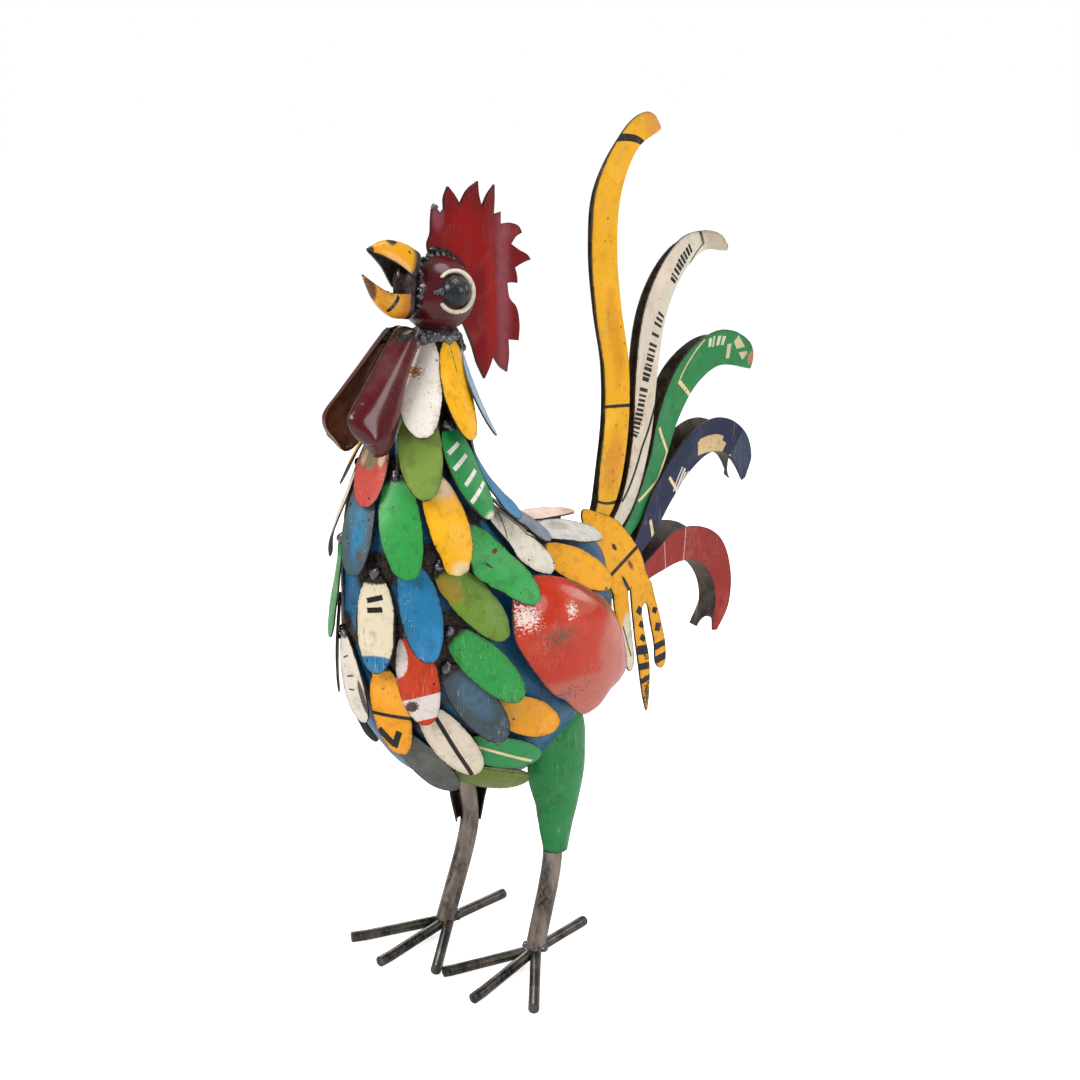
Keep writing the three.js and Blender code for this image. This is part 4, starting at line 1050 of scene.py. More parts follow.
def build_head():
    centre = np.array(HEAD["centre"], float)

    def soot(points):
        from_mouth = (points - np.array(MOUTH["centre"])) / np.array(MOUTH["radii"])
        mouth = 0.8 * smoothstep(1.55, 1.15, np.linalg.norm(from_mouth, axis=1))
        neck = smoothstep(520, 513, points[:, 2])
        comb = 0.7 * smoothstep(7, 2, np.abs(points[:, 0])) * (points[:, 2] > 555)
        return np.maximum(np.maximum(mouth, neck), comb)

    radius = HEAD["radius"]
    piece = ball_mesh("head_ball", centre, (radius,) * 3, seed=3, depth=0.5, size=10, soot=soot)
    maroon = painted("maroon_head_paint", 0x521019, wear=0.6, dirt=0.6, gloss=0.2, coat=0.4, sheet=False)
    fit(piece, maroon, "maroon", "head")
    mouth = ball_mesh("mouth_ball", MOUTH["centre"], MOUTH["radii"], seed=5, depth=2.2, size=4.5)
    fit(mouth, steel("mouth_steel", 0x1F1A1B, 0x6C605F, 0.5, bump=0.6), "dark_steel", "mouth")
    for n in range(MOUTH_SEAM["lumps"]):
        turn = 2 * math.pi * (n + 0.3 * wobble(23, n)) / MOUTH_SEAM["lumps"]
        sideways = MOUTH_SEAM["half_width"] * math.cos(turn)
        upwards = MOUTH_SEAM["half_height"] * math.sin(turn)
        out = unit(np.array([sideways, MOUTH_SEAM["y"], MOUTH_SEAM["z"] + upwards]) - centre)
        weld(centre + out * (radius - 0.9), out, 2.1 + 0.8 * (n % 3 == 0))
    collar = ball_mesh("neck_weld_collar", NECK_COLLAR["centre"], NECK_COLLAR["radii"], seed=21, depth=1.4,
                       size=4)
    fit(collar, steel("neck_weld_steel", 0x121113, 0x5F5B5E, 0.2, coat=0.5, bump=0.6), "dark_steel")
    for angle in NECK_LUMPS["angles"]:
        f = body_frame(np.array(float(angle)), np.array(float(NECK_LUMPS["z"])))
        weld(f["point"] + f["normal"] + np.array([0, 0, 1.5]), f["normal"], 4.0)


# The comb's cut edge as runs of smooth curve; each run starts where the one before it ends.
COMB_EDGES = [
    [(-59, 571), (-60, 578), (-57, 584), (-56, 595), (-55, 602)], [(-51, 602), (-47, 599), (-43, 601)],
    [(-43, 609), (-39, 617)], [(-33, 611), (-28, 604)], [(-21, 614), (-11, 620)], [(-10, 610), (-7, 601)],
    [(-1, 610), (8, 617)], [(8, 606), (7, 596)], [(17, 597)], [(17, 588)], [(30, 588), (40, 585), (44, 580)],
    [(37, 577), (32, 572)], [(41, 567), (50, 563), (54, 559)], [(45, 557), (36, 554)],
    [(38, 547), (38, 542)], [(32, 543), (26, 543)], [(28, 532), (36, 524), (39, 511), (38, 498)],
    [(32, 499), (26, 500)], [(27, 487), (25, 475)], [(14, 481), (5, 490)], [(0, 482), (-6, 474)],
    [(-13, 486), (-18, 500), (-24, 513)], [(-40, 545)],
]


def cut_edge(runs):
    """One closed outline through runs of smooth curve that meet in sharp corners."""
    outline = []
    start = runs[-1][-1]
    for run in runs:
        curve = np.array([start, *run], float)
        if len(run) > 1:
            curve = smooth_path(curve)(np.linspace(0, 1, 5 * len(run) + 1))
        outline += [tuple(point) for point in curve[1:]]
        start = run[-1]
    return outline[:-1]


COMB = {"thickness": 2.2, "bulge": 3.2, "bend": 6.5, "ripple": 0.9, "shift": -1.2}
COMB_WELDS = {"count": 12, "first": 176, "apart": 12, "half_gap": 1.6, "size": 2.2}
# Colour patches on the comb: the pink-grey band down the rear half and the pink-grey spot at the upper front
# are painted sheen; the two deeper reds are the paint's own tone.
COMB_MARKS_AND_SHEEN = [
    patch((19, 545), (9, 74), 0x93414A, 0.35, 0.7, 3.0), patch((-22, 578), (20, 24), 0x9C0A0E, 0.8, 0.5),
    patch((-50, 596), (6, 9), 0x8E4550, 1.2, 0.4), patch((2, 530), (7, 50), 0x9A0A0C, 0.5, 0.4),
]


def build_comb():
    """The comb bulges a little to the left over the head and bends to the right behind it."""
    def across(y, z, rim):
        bend = smoothstep(-6, 34, y)
        bulge = COMB["bulge"] * smoothstep(-46, -4, y)
        return bulge - COMB["bend"] * bend + COMB["ripple"] * np.sin(z / 19) * bend + COMB["shift"]

    def soot(points):
        from_head = np.linalg.norm(points[:, 1:] - np.array(HEAD["centre"][1:]), axis=1)
        return smoothstep(37, 30, from_head)

    outline = cut_edge(COMB_EDGES)
    piece = outline_mesh("comb_sheet", outline, COMB["thickness"], across, 2.5, smooth=False, soot=soot)
    both_painted = np.zeros(len(piece.data.vertices))
    piece.data.attributes["back"].data.foreach_set("value", both_painted)
    finish = painted("comb_paint", 0x7E070E, COMB_MARKS_AND_SHEEN, wear=0.15, dirt=0.8, gloss=0.3, coat=0.05)
    fit(piece, finish, "comb_red", "comb")
    for n in range(COMB_WELDS["count"]):
        turn = math.radians(COMB_WELDS["first"] - COMB_WELDS["apart"] * n)
        out = np.array([0, math.cos(turn), math.sin(turn)])
        place = np.array(HEAD["centre"]) + 28 * out
        for side in (1, -1):
            beside = (side * COMB_WELDS["half_gap"], 0, 0.6)
            weld(place + beside, out * 0.7 + (side * 0.7, 0, 0), COMB_WELDS["size"])
    weld((0.6, -54.5, 603), (0.5, -0.6, 0.6), 2.4)
    weld((0.6, -57, 573), (0.8, -0.6, 0), 2.2)


# Each half of the beak: half its width, the line along its ridge, and the rims of its two sides.
BEAK = {
    "upper_beak": {
        "half": 15, "ridge": [(-74, 573), (-88, 580), (-104, 582), (-119, 577)],
        "left_rim": [(-88, 556), (-102, 568), (-118, 576)],
        "right_rim": [(-82, 547), (-97, 562), (-117, 575)],
        "marks": [patch((0, 26), (7, 5), 0x3A3330, 0.9, 0.2), patch((0, 47), (20, 4), 0x2E2622, 0.6, 0.3),
                  patch((0, 2), (40, 5), 0x5A4A3C, 0.8, 0.5)]},
    "lower_beak": {
        "half": 13, "ridge": [(-84, 526), (-98, 529), (-112, 540), (-124, 560)],
        "left_rim": [(-88, 545), (-106, 547), (-123, 559)],
        "right_rim": [(-88, 545), (-106, 547), (-123, 559)],
        "marks": [patch((0, 44), (9, 9), 0x6B3F1C, 1.4, 0.2), stroke((-20, 14), (-3, 22), 2.6, BLACK, 0.5),
                  stroke((20, 14), (3, 22), 2.6, BLACK, 0.5), patch((0, 2), (40, 9), 0xC96F17, 0.8, 0.5)]},
}


BEAK_MIDDLE = (0, -86, 553)


def build_beak():
    for name, shape in BEAK.items():
        ridge = smooth_path([(0, y, z) for y, z in shape["ridge"]])
        left_rim = smooth_path([(0, y, z) for y, z in shape["left_rim"]])
        right_rim = smooth_path([(0, y, z) for y, z in shape["right_rim"]])

        def surface(u, v, ridge=ridge, left_rim=left_rim, right_rim=right_rim, half=shape["half"]):
            bend = u * math.pi / 2
            mix = (1 - np.cos(bend))[..., None]
            rim = np.where(u[..., None] < 0, right_rim(v), left_rim(v))
            point = ridge(v) * (1 - mix) + rim * mix
            point[..., 0] = half * (1 - 0.96 * v ** 1.3) * np.sin(bend)
            return point

        piece = sheet_mesh(f"{name}_horn", surface, 32, 28, THICKNESS, soot=burnt_root(9, most=0.9))
        paint_outside(piece, BEAK_MIDDLE)
        finish = painted(f"{name}_paint", 0xF2A81C, shape["marks"], wear=0.8, dirt=0.7, gloss=0.26, coat=0.4)
        fit(piece, finish, "golden", name)


def rounded_square(circle):
    """The sine or cosine of a turn, pushed out towards a square section."""
    return np.sign(circle) * np.abs(circle) ** 0.55


def build_eyes():
    out, forward, up = eye_axes()
    centre = np.array(HEAD["centre"], float)
    inner, outer, half_depth = EYE_RING["inner"], EYE_RING["outer"], EYE_RING["depth"] / 2
    steps, sides = 72, 14
    share = np.linspace(0, 1, steps)
    first, last = EYE_RING["from_top"], 2 * math.pi - EYE_RING["from_below"]
    turn = first + (last - first) * share
    width = (outer - inner) / 2 * (0.25 + 0.75 * np.sin(share * math.pi) ** 0.6)
    middle = (outer + inner) / 2
    section = np.linspace(0, 2 * math.pi, sides, endpoint=False)
    radial = middle + width[:, None] * rounded_square(np.cos(section))
    height = EYE_RING["out"] + half_depth + half_depth * rounded_square(np.sin(section))
    spokes = np.cos(turn)[:, None] * forward + np.sin(turn)[:, None] * up
    rings = centre + radial[..., None] * spokes[:, None] + height[:, None] * out
    faces = grid_faces(steps, sides, wrap=True)
    faces.append(list(range(sides)))
    faces.append([(steps - 1) * sides + k for k in range(sides)][::-1])
    flat = rings.reshape(-1, 3)
    front = centre + forward * middle + out * EYE_RING["out"]
    soot = 0.55 * (np.linalg.norm(flat - front, axis=1) < 9)
    rim = build_mesh("left_eye_ring_bar", flat, faces, soot=soot)
    turn_outwards(rim)
    cream = painted("eye_ring_paint", 0xE6DDC8, wear=1.0, dirt=0.7, gloss=0.3, coat=0.2, sheet=False)
    fit(rim, cream, "cream", "left_eye_ring")
    fit(mirror(rim, "right_eye_ring_bar"), cream, "cream", "right_eye_ring")
    ball_at = centre + out * EYE["ball_out"]
    ball = ball_mesh("left_eye_bead", ball_at, (EYE["ball"],) * 3, seed=9, depth=0.35, size=4)
    metal = painted("eye_steel", 0x1F242A, wear=1.6, dirt=1.0, gloss=0.3, coat=0.35, sheet=False)
    fit(ball, metal, "dark_steel", "left_eyeball")
    fit(mirror(ball, "right_eye_bead"), metal, "dark_steel", "right_eyeball")
    for side in (1, -1):
        flip = np.array([side, 1, 1])
        for n in range(4):
            spot = centre + forward * (11.5 + 1.5 * n) + out * (25.5 - 0.5 * n) + up * (0.6 * (n % 2))
            weld(spot * flip, out * flip, 2.6 - 0.35 * n)


# ------------------------------------------------------------------ wattles and wings
WATTLE_OUTLINE = [
    (-94, 521), (-103, 514), (-121, 496), (-138, 479), (-151, 465), (-150, 455), (-140, 444),
    (-130, 434), (-120, 437), (-110, 452), (-101, 473), (-92, 491), (-79, 511), (-84, 520),
]
WATTLE_AXIS = ((-86, 520), (-136, 450))
WATTLE = {"top": 524, "at_top": 2.6, "spread": 0.16, "dome": 10.5}
# Weld lumps where a wattle joins the head: y, z and size.
WATTLE_WELDS = [(-84, 517, 3.6), (-90, 514, 3.2), (-93, 508, 2.4), (-86, 509, 2.8), (-80, 512, 3.4)]
WING_OUTLINE = [
    (-61, 298), (-61, 316), (-56, 331), (-42, 340), (-25, 339), (-6, 333), (10, 325), (36, 309),
    (54, 291), (68, 271), (78, 254), (88, 240), (82, 232), (66, 227), (49, 225), (36, 217),
    (20, 217), (4, 226), (-10, 238), (-27, 249), (-41, 265), (-54, 283),
]


def build_wattles():
    """Each wattle is a shell domed about its long axis; the two stand apart more the lower they hang."""
    def across(y, z, rim):
        (y0, z0), (y1, z1) = WATTLE_AXIS
        along = np.array([y1 - y0, z1 - z0]) / math.hypot(y1 - y0, z1 - z0)
        off_axis = np.hypot((y - y0) * along[1] - (z - z0) * along[0], 1.2)
        spread = WATTLE["spread"] * (WATTLE["top"] - z)
        return WATTLE["at_top"] + spread + WATTLE["dome"] * np.sqrt(1 - (off_axis / (off_axis + rim)) ** 2)

    def soot(points):
        return smoothstep(503, 520, points[:, 2]) * 0.95

    piece = outline_mesh("left_wattle_shell", WATTLE_OUTLINE, THICKNESS, across, step=2.0, soot=soot)
    finish = painted("wattle_paint", 0x560611, wear=0.25, dirt=0.4, gloss=0.22, coat=0.6, inside=0x7A3E1C)
    fit(piece, finish, "maroon", "left_wattle")
    fit(mirror(piece, "right_wattle_shell"), finish, "maroon", "right_wattle")
    for side in (1, -1):
        for y, z, size in WATTLE_WELDS:
            x = 11 + WATTLE["spread"] * (WATTLE["top"] - z)
            weld((side * x, y, z), (side, -0.3, 0.1), size)


WING = {"middle": (4, 280), "reach": (92, 72), "rim_at": 76, "height": 26, "rim_width": 9, "curl": 0.001,
        "round": 0.62}
# Marks on the wing: the three coral-pink patches are painted reflection of the pale surroundings on the
# glossy dome, and the two fields of white specks at the top front are painted glints; the others are the
# paint's own marks.
WING_MARKS_AND_SHEEN = [
    patch((-8, 240), (66, 19), 0xC6604C, 0.7, 0.18, 4.0),
    patch((50, 270), (34, 32), 0xC9634F, 0.7, 0.2, 4.0),
    patch((2, 316), (22, 10), 0xCC5C44, 0.8, 0.2, 4.0), patch((-17, 284), (11, 8), 0xCC2C08, 0.9, 0.2, 6.0),
    stroke((-6, 333), (58, 287), 6, 0x9C3D16, 2.0), stroke((58, 287), (78, 252), 5, 0x96391A, 2.0),
    specks((-29, 296), (36, 18), 0x57523C, 0.22, 5.0), specks((-54, 315), (13, 15), 0xF6E4DA, 0.5, 6.0),
    specks((-15, 313), (8, 9), 0xF6E4DA, 0.45, 5.0), specks((-14, 246), (30, 16), 0x7A4438, 0.15, 4.0),
    stroke((62, 262), (88, 238), 3, 0xD98A76, 1.4),
]


def build_wings():
    """Each wing is a hammered shell: a low round dome with a rolled rim."""
    def across(y, z, rim):
        y0, z0 = WING["middle"]
        a, b = WING["reach"]
        round_dome = np.sqrt(np.clip(1 - ((y - y0) / a) ** 2 - ((z - z0) / b) ** 2, 0, 1))
        rolled_rim = 1 - np.exp(-rim / WING["rim_width"])
        hammered = dents(np.column_stack([0 * y, y, z]), seed=31, size=12, depth=0.8)
        dome = WING["round"] * round_dome + (1 - WING["round"]) * rolled_rim
        return WING["rim_at"] - WING["curl"] * (y + 20) ** 2 + WING["height"] * dome + hammered

    piece = outline_mesh("left_wing_shell", WING_OUTLINE, THICKNESS, across, step=2.6)
    finish = painted("wing_paint", 0xCB310C, WING_MARKS_AND_SHEEN, wear=0.6, dirt=0.3, gloss=0.2, coat=0.4)
    fit(piece, finish, "wing_red", "left_wing")
    fit(mirror(piece, "right_wing_shell"), finish, "wing_red", "right_wing")


# ------------------------------------------------------------------ saddle
SADDLE_OUTLINE = [
    (90, 358), (104, 354), (119, 346), (126, 335), (130, 318), (126, 303), (129, 290), (139, 264),
    (147, 237), (146, 222), (140, 220), (134, 226), (132, 242), (126, 263), (120, 281), (115, 279),
    (118, 258), (125, 232), (126, 207), (123, 187), (118, 199), (111, 231), (105.5, 257), (101.5, 281),
    (97, 307), (95.5, 304), (98, 281), (102, 257), (105, 232), (100, 227), (95, 234), (90, 252),
    (83, 273), (78, 293), (80, 312), (79, 330), (80, 345), (84, 354),
]
SADDLE = {"fold_height": 345, "fold_at": 30, "upper": 0.8, "lower": 0.66, "nearest": 18, "farthest": 62}
RIGHT_SADDLE = {"top": 342, "left_out_above": 352}
# The black bands across the two long points of the saddle: start, end and width.
SADDLE_BANDS = [
    ((108, 279), (114, 274), 6), ((111, 266), (117, 262), 5), ((113, 254), (119, 250), 5),
    ((108, 243), (126, 240), 8), ((108, 228), (128, 226), 6), ((112, 214), (128, 216), 5),
    ((128, 274), (134, 271), 5), ((132, 258), (139, 256), 7), ((132, 240), (150, 242), 6),
    ((132, 228), (150, 230), 7),
]
SADDLE_MARKS = [
    stroke((84, 310), (134, 325), 2.4, BLACK, 0.6), patch((103, 328), (2.4, 2.6), 0x4A2E18, 1.0),
    patch((112, 313), (2.4, 3.4), 0x7A4A20, 1.6, 0.5),
    specks((123, 202), (8, 20), 0x4A331C, 0.5, 5.0), specks((121, 240), (8, 26), 0x4A331C, 0.25, 5.0),
    *[stroke(start, end, width, BLACK) for start, end, width in SADDLE_BANDS],
    patch((96, 248), (9, 30), 0xE8DCC4, 0.6, 0.1), stroke((90, 268), (101, 240), 1.6, 0x5B4634, 1.2),
]


def build_saddles():
    """A sheet cut into long points on each side; it stands off the flanks more the lower it hangs."""
    def across(y, z, rim):
        slope = np.where(z < SADDLE["fold_height"], SADDLE["lower"], SADDLE["upper"])
        spread = SADDLE["fold_at"] + slope * (SADDLE["fold_height"] - z)
        return np.clip(spread, SADDLE["nearest"], SADDLE["farthest"])

    finish = painted("saddle_paint", 0xF9AE1B, SADDLE_MARKS, wear=0.7, dirt=0.5, gloss=0.32)
    piece = outline_mesh("left_saddle_sheet", SADDLE_OUTLINE, THICKNESS, across, step=2.6)
    fit(piece, finish, "golden", "left_saddle")
    kept = [(y, z) for y, z in SADDLE_OUTLINE if z < RIGHT_SADDLE["left_out_above"]]
    low = [(y, min(z, RIGHT_SADDLE["top"])) for y, z in kept]
    other = outline_mesh("saddle_pattern", low, THICKNESS, across, step=2.6)
    fit(mirror(other, "right_saddle_sheet"), finish, "golden", "right_saddle")
    bpy.data.objects.remove(other)


# ------------------------------------------------------------------ tail
# Each feather is a channel. open is how far the right flange's free edge stands out, web the right half
# of the back, tip_spread what is left of both at the tips, right the right flange's share of the depth,
# and notch how far the back stops short of the tips. depths are (share of the length, channel's depth).
TAIL = {
    "yellow": {
        "open": 12, "web": 4, "tip_spread": 0.4, "right": 0.5, "notch": 0,
        "slot": "golden", "colour": 0xFCB81B,
        "depths": [(0, 12), (0.22, 34), (0.7, 34), (0.85, 25), (0.94, 21), (0.98, 14), (1, 3)],
        "spine": [(124, 324), (149, 350), (164, 403), (165, 465), (154, 515), (148, 560), (152, 605),
                  (174, 641), (205, 656)]},
    "white": {
        "open": 11, "web": 4, "tip_spread": 0.4, "right": 0.65, "notch": 0,
        "slot": "cream", "colour": 0xE9DECB,
        "depths": [(0, 10), (0.15, 20), (0.35, 29), (0.5, 33), (0.75, 27), (0.86, 17), (0.95, 12), (1, 4)],
        "spine": [(138, 310), (175, 345), (196, 398), (204, 455), (215, 504), (238, 537), (268, 554),
                  (303, 552)]},
    "green": {
        "open": 14, "web": 5, "tip_spread": 0.5, "right": 0.8, "notch": 0,
        "slot": "green", "colour": 0x2E8A4E,
        "depths": [(0, 9), (0.16, 17), (0.4, 29), (0.55, 34), (0.8, 30), (0.93, 23), (0.985, 15), (1, 8)],
        "spine": [(144, 298), (185, 330), (216, 374), (233, 408), (257, 436), (290, 451), (318, 449),
                  (344, 443)]},
    "navy": {
        "open": 19, "web": 11, "tip_spread": 0.95, "right": 0.9, "notch": 0.12,
        "slot": "navy", "colour": 0x1C2749,
        "depths": [(0, 9), (0.18, 17), (0.4, 30), (0.7, 31), (0.86, 28), (0.95, 21), (1, 4)],
        "spine": [(138, 284), (175, 294), (201, 312), (228, 340), (256, 363), (286, 374), (314, 366),
                  (334, 340)]},
    "red": {
        "open": 28, "web": 15, "tip_spread": 0.9, "right": 1.0, "notch": 0.05,
        "slot": "brick_red", "colour": 0xA12C25,
        "depths": [(0, 9), (0.2, 17), (0.4, 31), (0.6, 31), (0.75, 25), (0.9, 18), (1, 5)],
        "spine": [(136, 268), (175, 270), (212, 277), (245, 281), (272, 274), (291, 256), (298, 236),
                  (294, 204)]},
}
# The left half of every back, and how far the left flange's free edge stands out.
TAIL_LEFT_WEB = 4
TAIL_LEFT_OPEN = 6
# Marks on the left side: (distance from the back's middle line, distance along the back).
TAIL_MARKS = {
    "yellow": [stroke((0, 120), (60, 125), 3, BLACK, 0.4), stroke((0, 40), (60, 4), 3, BLACK, 0.4),
               stroke((34, 325), (-4, 350), 5, BLACK, 0.4), patch((16, 366), (22, 14), 0xE9A13C, 1.0, 0.4),
               patch((18, 180), (8, 40), 0xEFA31A, 1.4, 0.4), patch((20, 70), (12, 26), 0xEC9E1C, 1.4, 0.4)],
    "white": [patch((20, 140), (14, 60), 0xE6D6C0, 1.4, 0.4), patch((24, 230), (10, 50), 0xE8D8C4, 1.4, 0.4),
              bars((31, 96), (11, 218), 13, 4.2, BLACK, 0.82),
              bars((10, 230), (15, 276), 12, 3.9, BLACK, 0.9),
              stroke((20, 44), (14, 100), 3, BLACK, 0.7), stroke((14, 100), (3, 138), 3, BLACK, 0.7),
              stroke((32, 286), (8, 291), 3, BLACK, 0.4), stroke((9, 291), (2, 262), 1.3, BLACK, 0.3),
              patch((16, 312), (24, 20), 0xCFBFA6, 0.9, 0.3)],
    "green": [stroke((18, 62), (4, 90), 3, PALE, 0.5), stroke((4, 90), (5, 117), 2.4, PALE, 0.4),
              stroke((5, 117), (27, 132), 3, PALE, 0.5), stroke((27, 170), (4, 172), 3.4, PALE, 0.5),
              stroke((27, 172), (35, 206), 1.5, PALE, 0.4),
              bars((33, 196), (25, 226), 10, 4.6, 0xE6E0C4, 0.9),
              stroke((27, 240), (12, 258), 9, 0xDDCCA4, 2.0), stroke((22, 232), (9, 232), 5, 0xDDCCA4, 1.6),
              patch((12, 268), (6, 5), 0xC98A6A, 1.4, 0.2), stroke((16, 244), (20, 262), 4, 0x2E8A4E, 1.4)],
    "navy": [stroke((26, 68), (-4, 58), 3, PALE, 0.5), stroke((36, 104), (-4, 104), 3, PALE, 0.5),
             bars((29, 108), (-4, 124), 22, 3.6, 0xE8E4D4, 0.95),
             stroke((34, 144), (30, 170), 9, 0xDDBD8C, 0.8),
             stroke((31, 141), (23, 174), 13, 0xDDBD8C, 0.8), stroke((24, 186), (10, 190), 5, 0xDDBD8C, 0.8),
             stroke((-40, 206), (60, 206), 40, 0x3C4862, 0.6),
             stroke((2, 40), (4, 190), 0.8, 0x8A93A8, 0.4)],
    "red": [stroke((-60, 84), (60, 80), 1.2, 0xD9A79C, 0.5),
            stroke((-60, 110), (60, 104), 1.2, 0xD9A79C, 0.5),
            patch((10, 14), (40, 20), 0x4C4A50, 0.8, 0.3)],
}


def tail_surface(shape):
    """The channel of a tail feather; a third of the sheet is its back and each outer third a flange."""
    spine = smooth_path([(0, y, z) for y, z in shape["spine"]])
    depth_at = smooth_rows(shape["depths"])
    full = max(depth for share, depth in shape["depths"])

    def surface(u, v):
        edge = np.clip((np.abs(u) * 3 - 1) / 2, 0, 1)
        opening = np.where(u < 0, shape["open"], TAIL_LEFT_OPEN)
        t = np.clip(v * (1 - shape["notch"] * smoothstep(0.34, 0.05, np.abs(u))), 0, 1)
        point = spine(t)
        tangent = unit(spine(np.minimum(1, t + 0.004)) - spine(np.maximum(0, t - 0.004)))
        depth = depth_at(t)[..., 0]
        reach = edge * depth * np.where(u < 0, shape["right"], 1)
        point[..., 1] -= tangent[..., 2] * reach
        point[..., 2] += tangent[..., 1] * reach
        flare = shape["tip_spread"] + (1 - shape["tip_spread"]) * depth / full
        web_width = np.where(u < 0, shape["web"], TAIL_LEFT_WEB)
        web = web_width * np.sin(np.clip(np.abs(u) * 3, 0, 1) * math.pi / 2)
        spread = web + (opening - web_width) * edge
        point[..., 0] = np.sign(u) * spread * flare
        return point

    return surface


def build_tail():
    for name, shape in TAIL.items():
        # On the notched feathers, the back along the curl and the right flange near the tip take the dark
        # brown of the inside.
        def bare(u, v, notched=shape["notch"] > 0):
            back = smoothstep(0.34, 0.3, np.abs(u)) * smoothstep(0.42, 0.5, v)
            return notched * np.maximum(back, (u < 0) * smoothstep(0.86, 0.92, v))

        surface = tail_surface(shape)
        soot = burnt_root(16, full=2, most=0.9)
        piece = sheet_mesh(f"{name}_tail_channel", surface, 42, 120, THICKNESS, soot=soot, bare=bare)
        marks = TAIL_MARKS[name]
        finish = painted(f"{name}_tail_paint", shape["colour"], marks, wear=0.6, dirt=0.4, gloss=0.3)
        fit(piece, finish, shape["slot"], f"{name}_tail_feather")
        y, z = shape["spine"][0]
        for x in (-6, 0, 6):
            weld((x, y + 3, z + 3), (0, 0.6, 0.5), 4.6)


# ------------------------------------------------------------------ legs and feet
# The middle of a leg: x from the stance, y and z. Rows of a thigh: height, y of its middle, half its
# length and half its width. shifts moves the leg's four points along y and thigh the whole thigh; turn
# and thigh_turn are in degrees.
LEG_PATH = [(0, -1.6, 8.2), (0, 23.3, 90), (-1, 15.3, 128), (-4, 15.3, 196)]
THIGH = [
    (91, 27, 10.2, 10), (110, 27, 14.8, 12.5), (130, 28.5, 19.5, 15.5), (165, 27, 28, 20),
    (188, 27, 28, 20.5), (204, 28, 24, 19), (213, 29, 16, 14),
]
THIGH_MIDDLE = (20, 27, 140)
FEET = {
    "left": {"side": 1, "y": 4.7, "turn": 7, "shifts": (0, -3, -2, 0), "thigh": 0, "thigh_turn": 0},
    "right": {"side": -1, "y": -4.7, "turn": 3, "shifts": (-4.5, 2, 6, 6), "thigh": -8, "thigh_turn": 34},
}


def build_legs():
    tube_steel = steel("leg_steel", 0x1E1511, 0x94867A, 0.7, coat=0.5)
    bar_steel = steel("toe_steel", 0x1E1A18, 0x68615A, 0.45, coat=0.2)
    thigh_paint = painted("thigh_paint", 0x2C8A4A, wear=0.75, dirt=0.6, gloss=0.3)
    for name, foot in FEET.items():
        places = []
        for i, (x, y, z) in enumerate(LEG_PATH):
            places.append((foot["side"] * (STANCE + x), foot["y"] + y + foot["shifts"][i], z))
        full_path = smooth_path(places)

        def route(t, full_path=full_path):
            return full_path(0.005 + 0.985 * t)

        leg = tube_mesh(f"{name}_leg_tube", route, TUBE_RADIUS, 60, sides=32, flare=0.012, seed=7)
        fit(leg, tube_steel, "bare_steel", f"{name}_leg")
        build_toes(name, foot, bar_steel)
        build_thigh(name, foot, thigh_paint)


def build_thigh(name, foot, finish):
    profile = smooth_rows(THIGH)

    def surface(u, v):
        z = THIGH[0][0] + (THIGH[-1][0] - THIGH[0][0]) * v
        row = profile(z)
        turn = np.radians(100 * u + foot["thigh_turn"])
        y = row[..., 0] + row[..., 1] * np.sin(turn) + foot["thigh"]
        return np.stack([STANCE + row[..., 2] * np.cos(turn), y, z], axis=-1)

    piece = sheet_mesh(f"{name}_thigh_half", surface, 40, 36, THICKNESS, soot=burnt_root(8, most=0.6))
    paint_outside(piece, THIGH_MIDDLE)
    if foot["side"] < 0:
        twin = mirror(piece, f"{name}_thigh_shell")
        bpy.data.objects.remove(piece)
        piece = twin
    else:
        piece.name = f"{name}_thigh_shell"
    fit(piece, finish, "thigh_green", f"{name}_thigh")


def heading(degrees):
    """A level direction turned from straight ahead towards the left side."""
    a = math.radians(degrees)
    return np.array([math.sin(a), -math.cos(a)])


def build_toes(name, foot, finish):
    hub = np.array([foot["side"] * STANCE, foot["y"]])
    slope = (TOE["tip"] - TOE["hub"]) / TOE["front"]
    toes = {
        "middle": (foot["turn"], -5, TOE["front"]), "back": (foot["turn"] + 180, 6, TOE["back"]),
        "inner": (foot["turn"] - foot["side"] * TOE["spread"], 3, TOE["inner"]),
        "outer": (foot["turn"] + foot["side"] * TOE["spread"], 3, TOE["front"]),
    }
    for label, (turn, start, end) in toes.items():
        direction = heading(turn)

        def route(t, direction=direction, start=start, end=end):
            reach = start + (end - start) * t
            flat = hub + direction * reach[..., None]
            z = TOE["hub"] + slope * np.abs(reach)
            return np.concatenate([flat, np.maximum(z, TOE["radius"])[..., None]], axis=-1)

        piece = tube_mesh(f"{name}_{label}_toe_bar", route, TOE["radius"], 24, sides=24, flare=0.01, seed=3)
        fit(piece, finish, "bare_steel", f"{name}_{label}_toe")
    for n in range(ANKLE["lumps"]):
        turn = 2 * math.pi * (n + 0.3) / ANKLE["lumps"]
        out = np.array([math.cos(turn), math.sin(turn)])
        weld((*(hub + TUBE_RADIUS * out), ANKLE["z"]), (*out, 0.8), ANKLE["size"])


# ------------------------------------------------------------------ weld lumps
# Within a heap: sizes of its lumps as shares of the heap's, and how much flatter it is than wide.
LUMP = {"smallest": 0.45, "largest": 0.8, "flattened": 0.75}


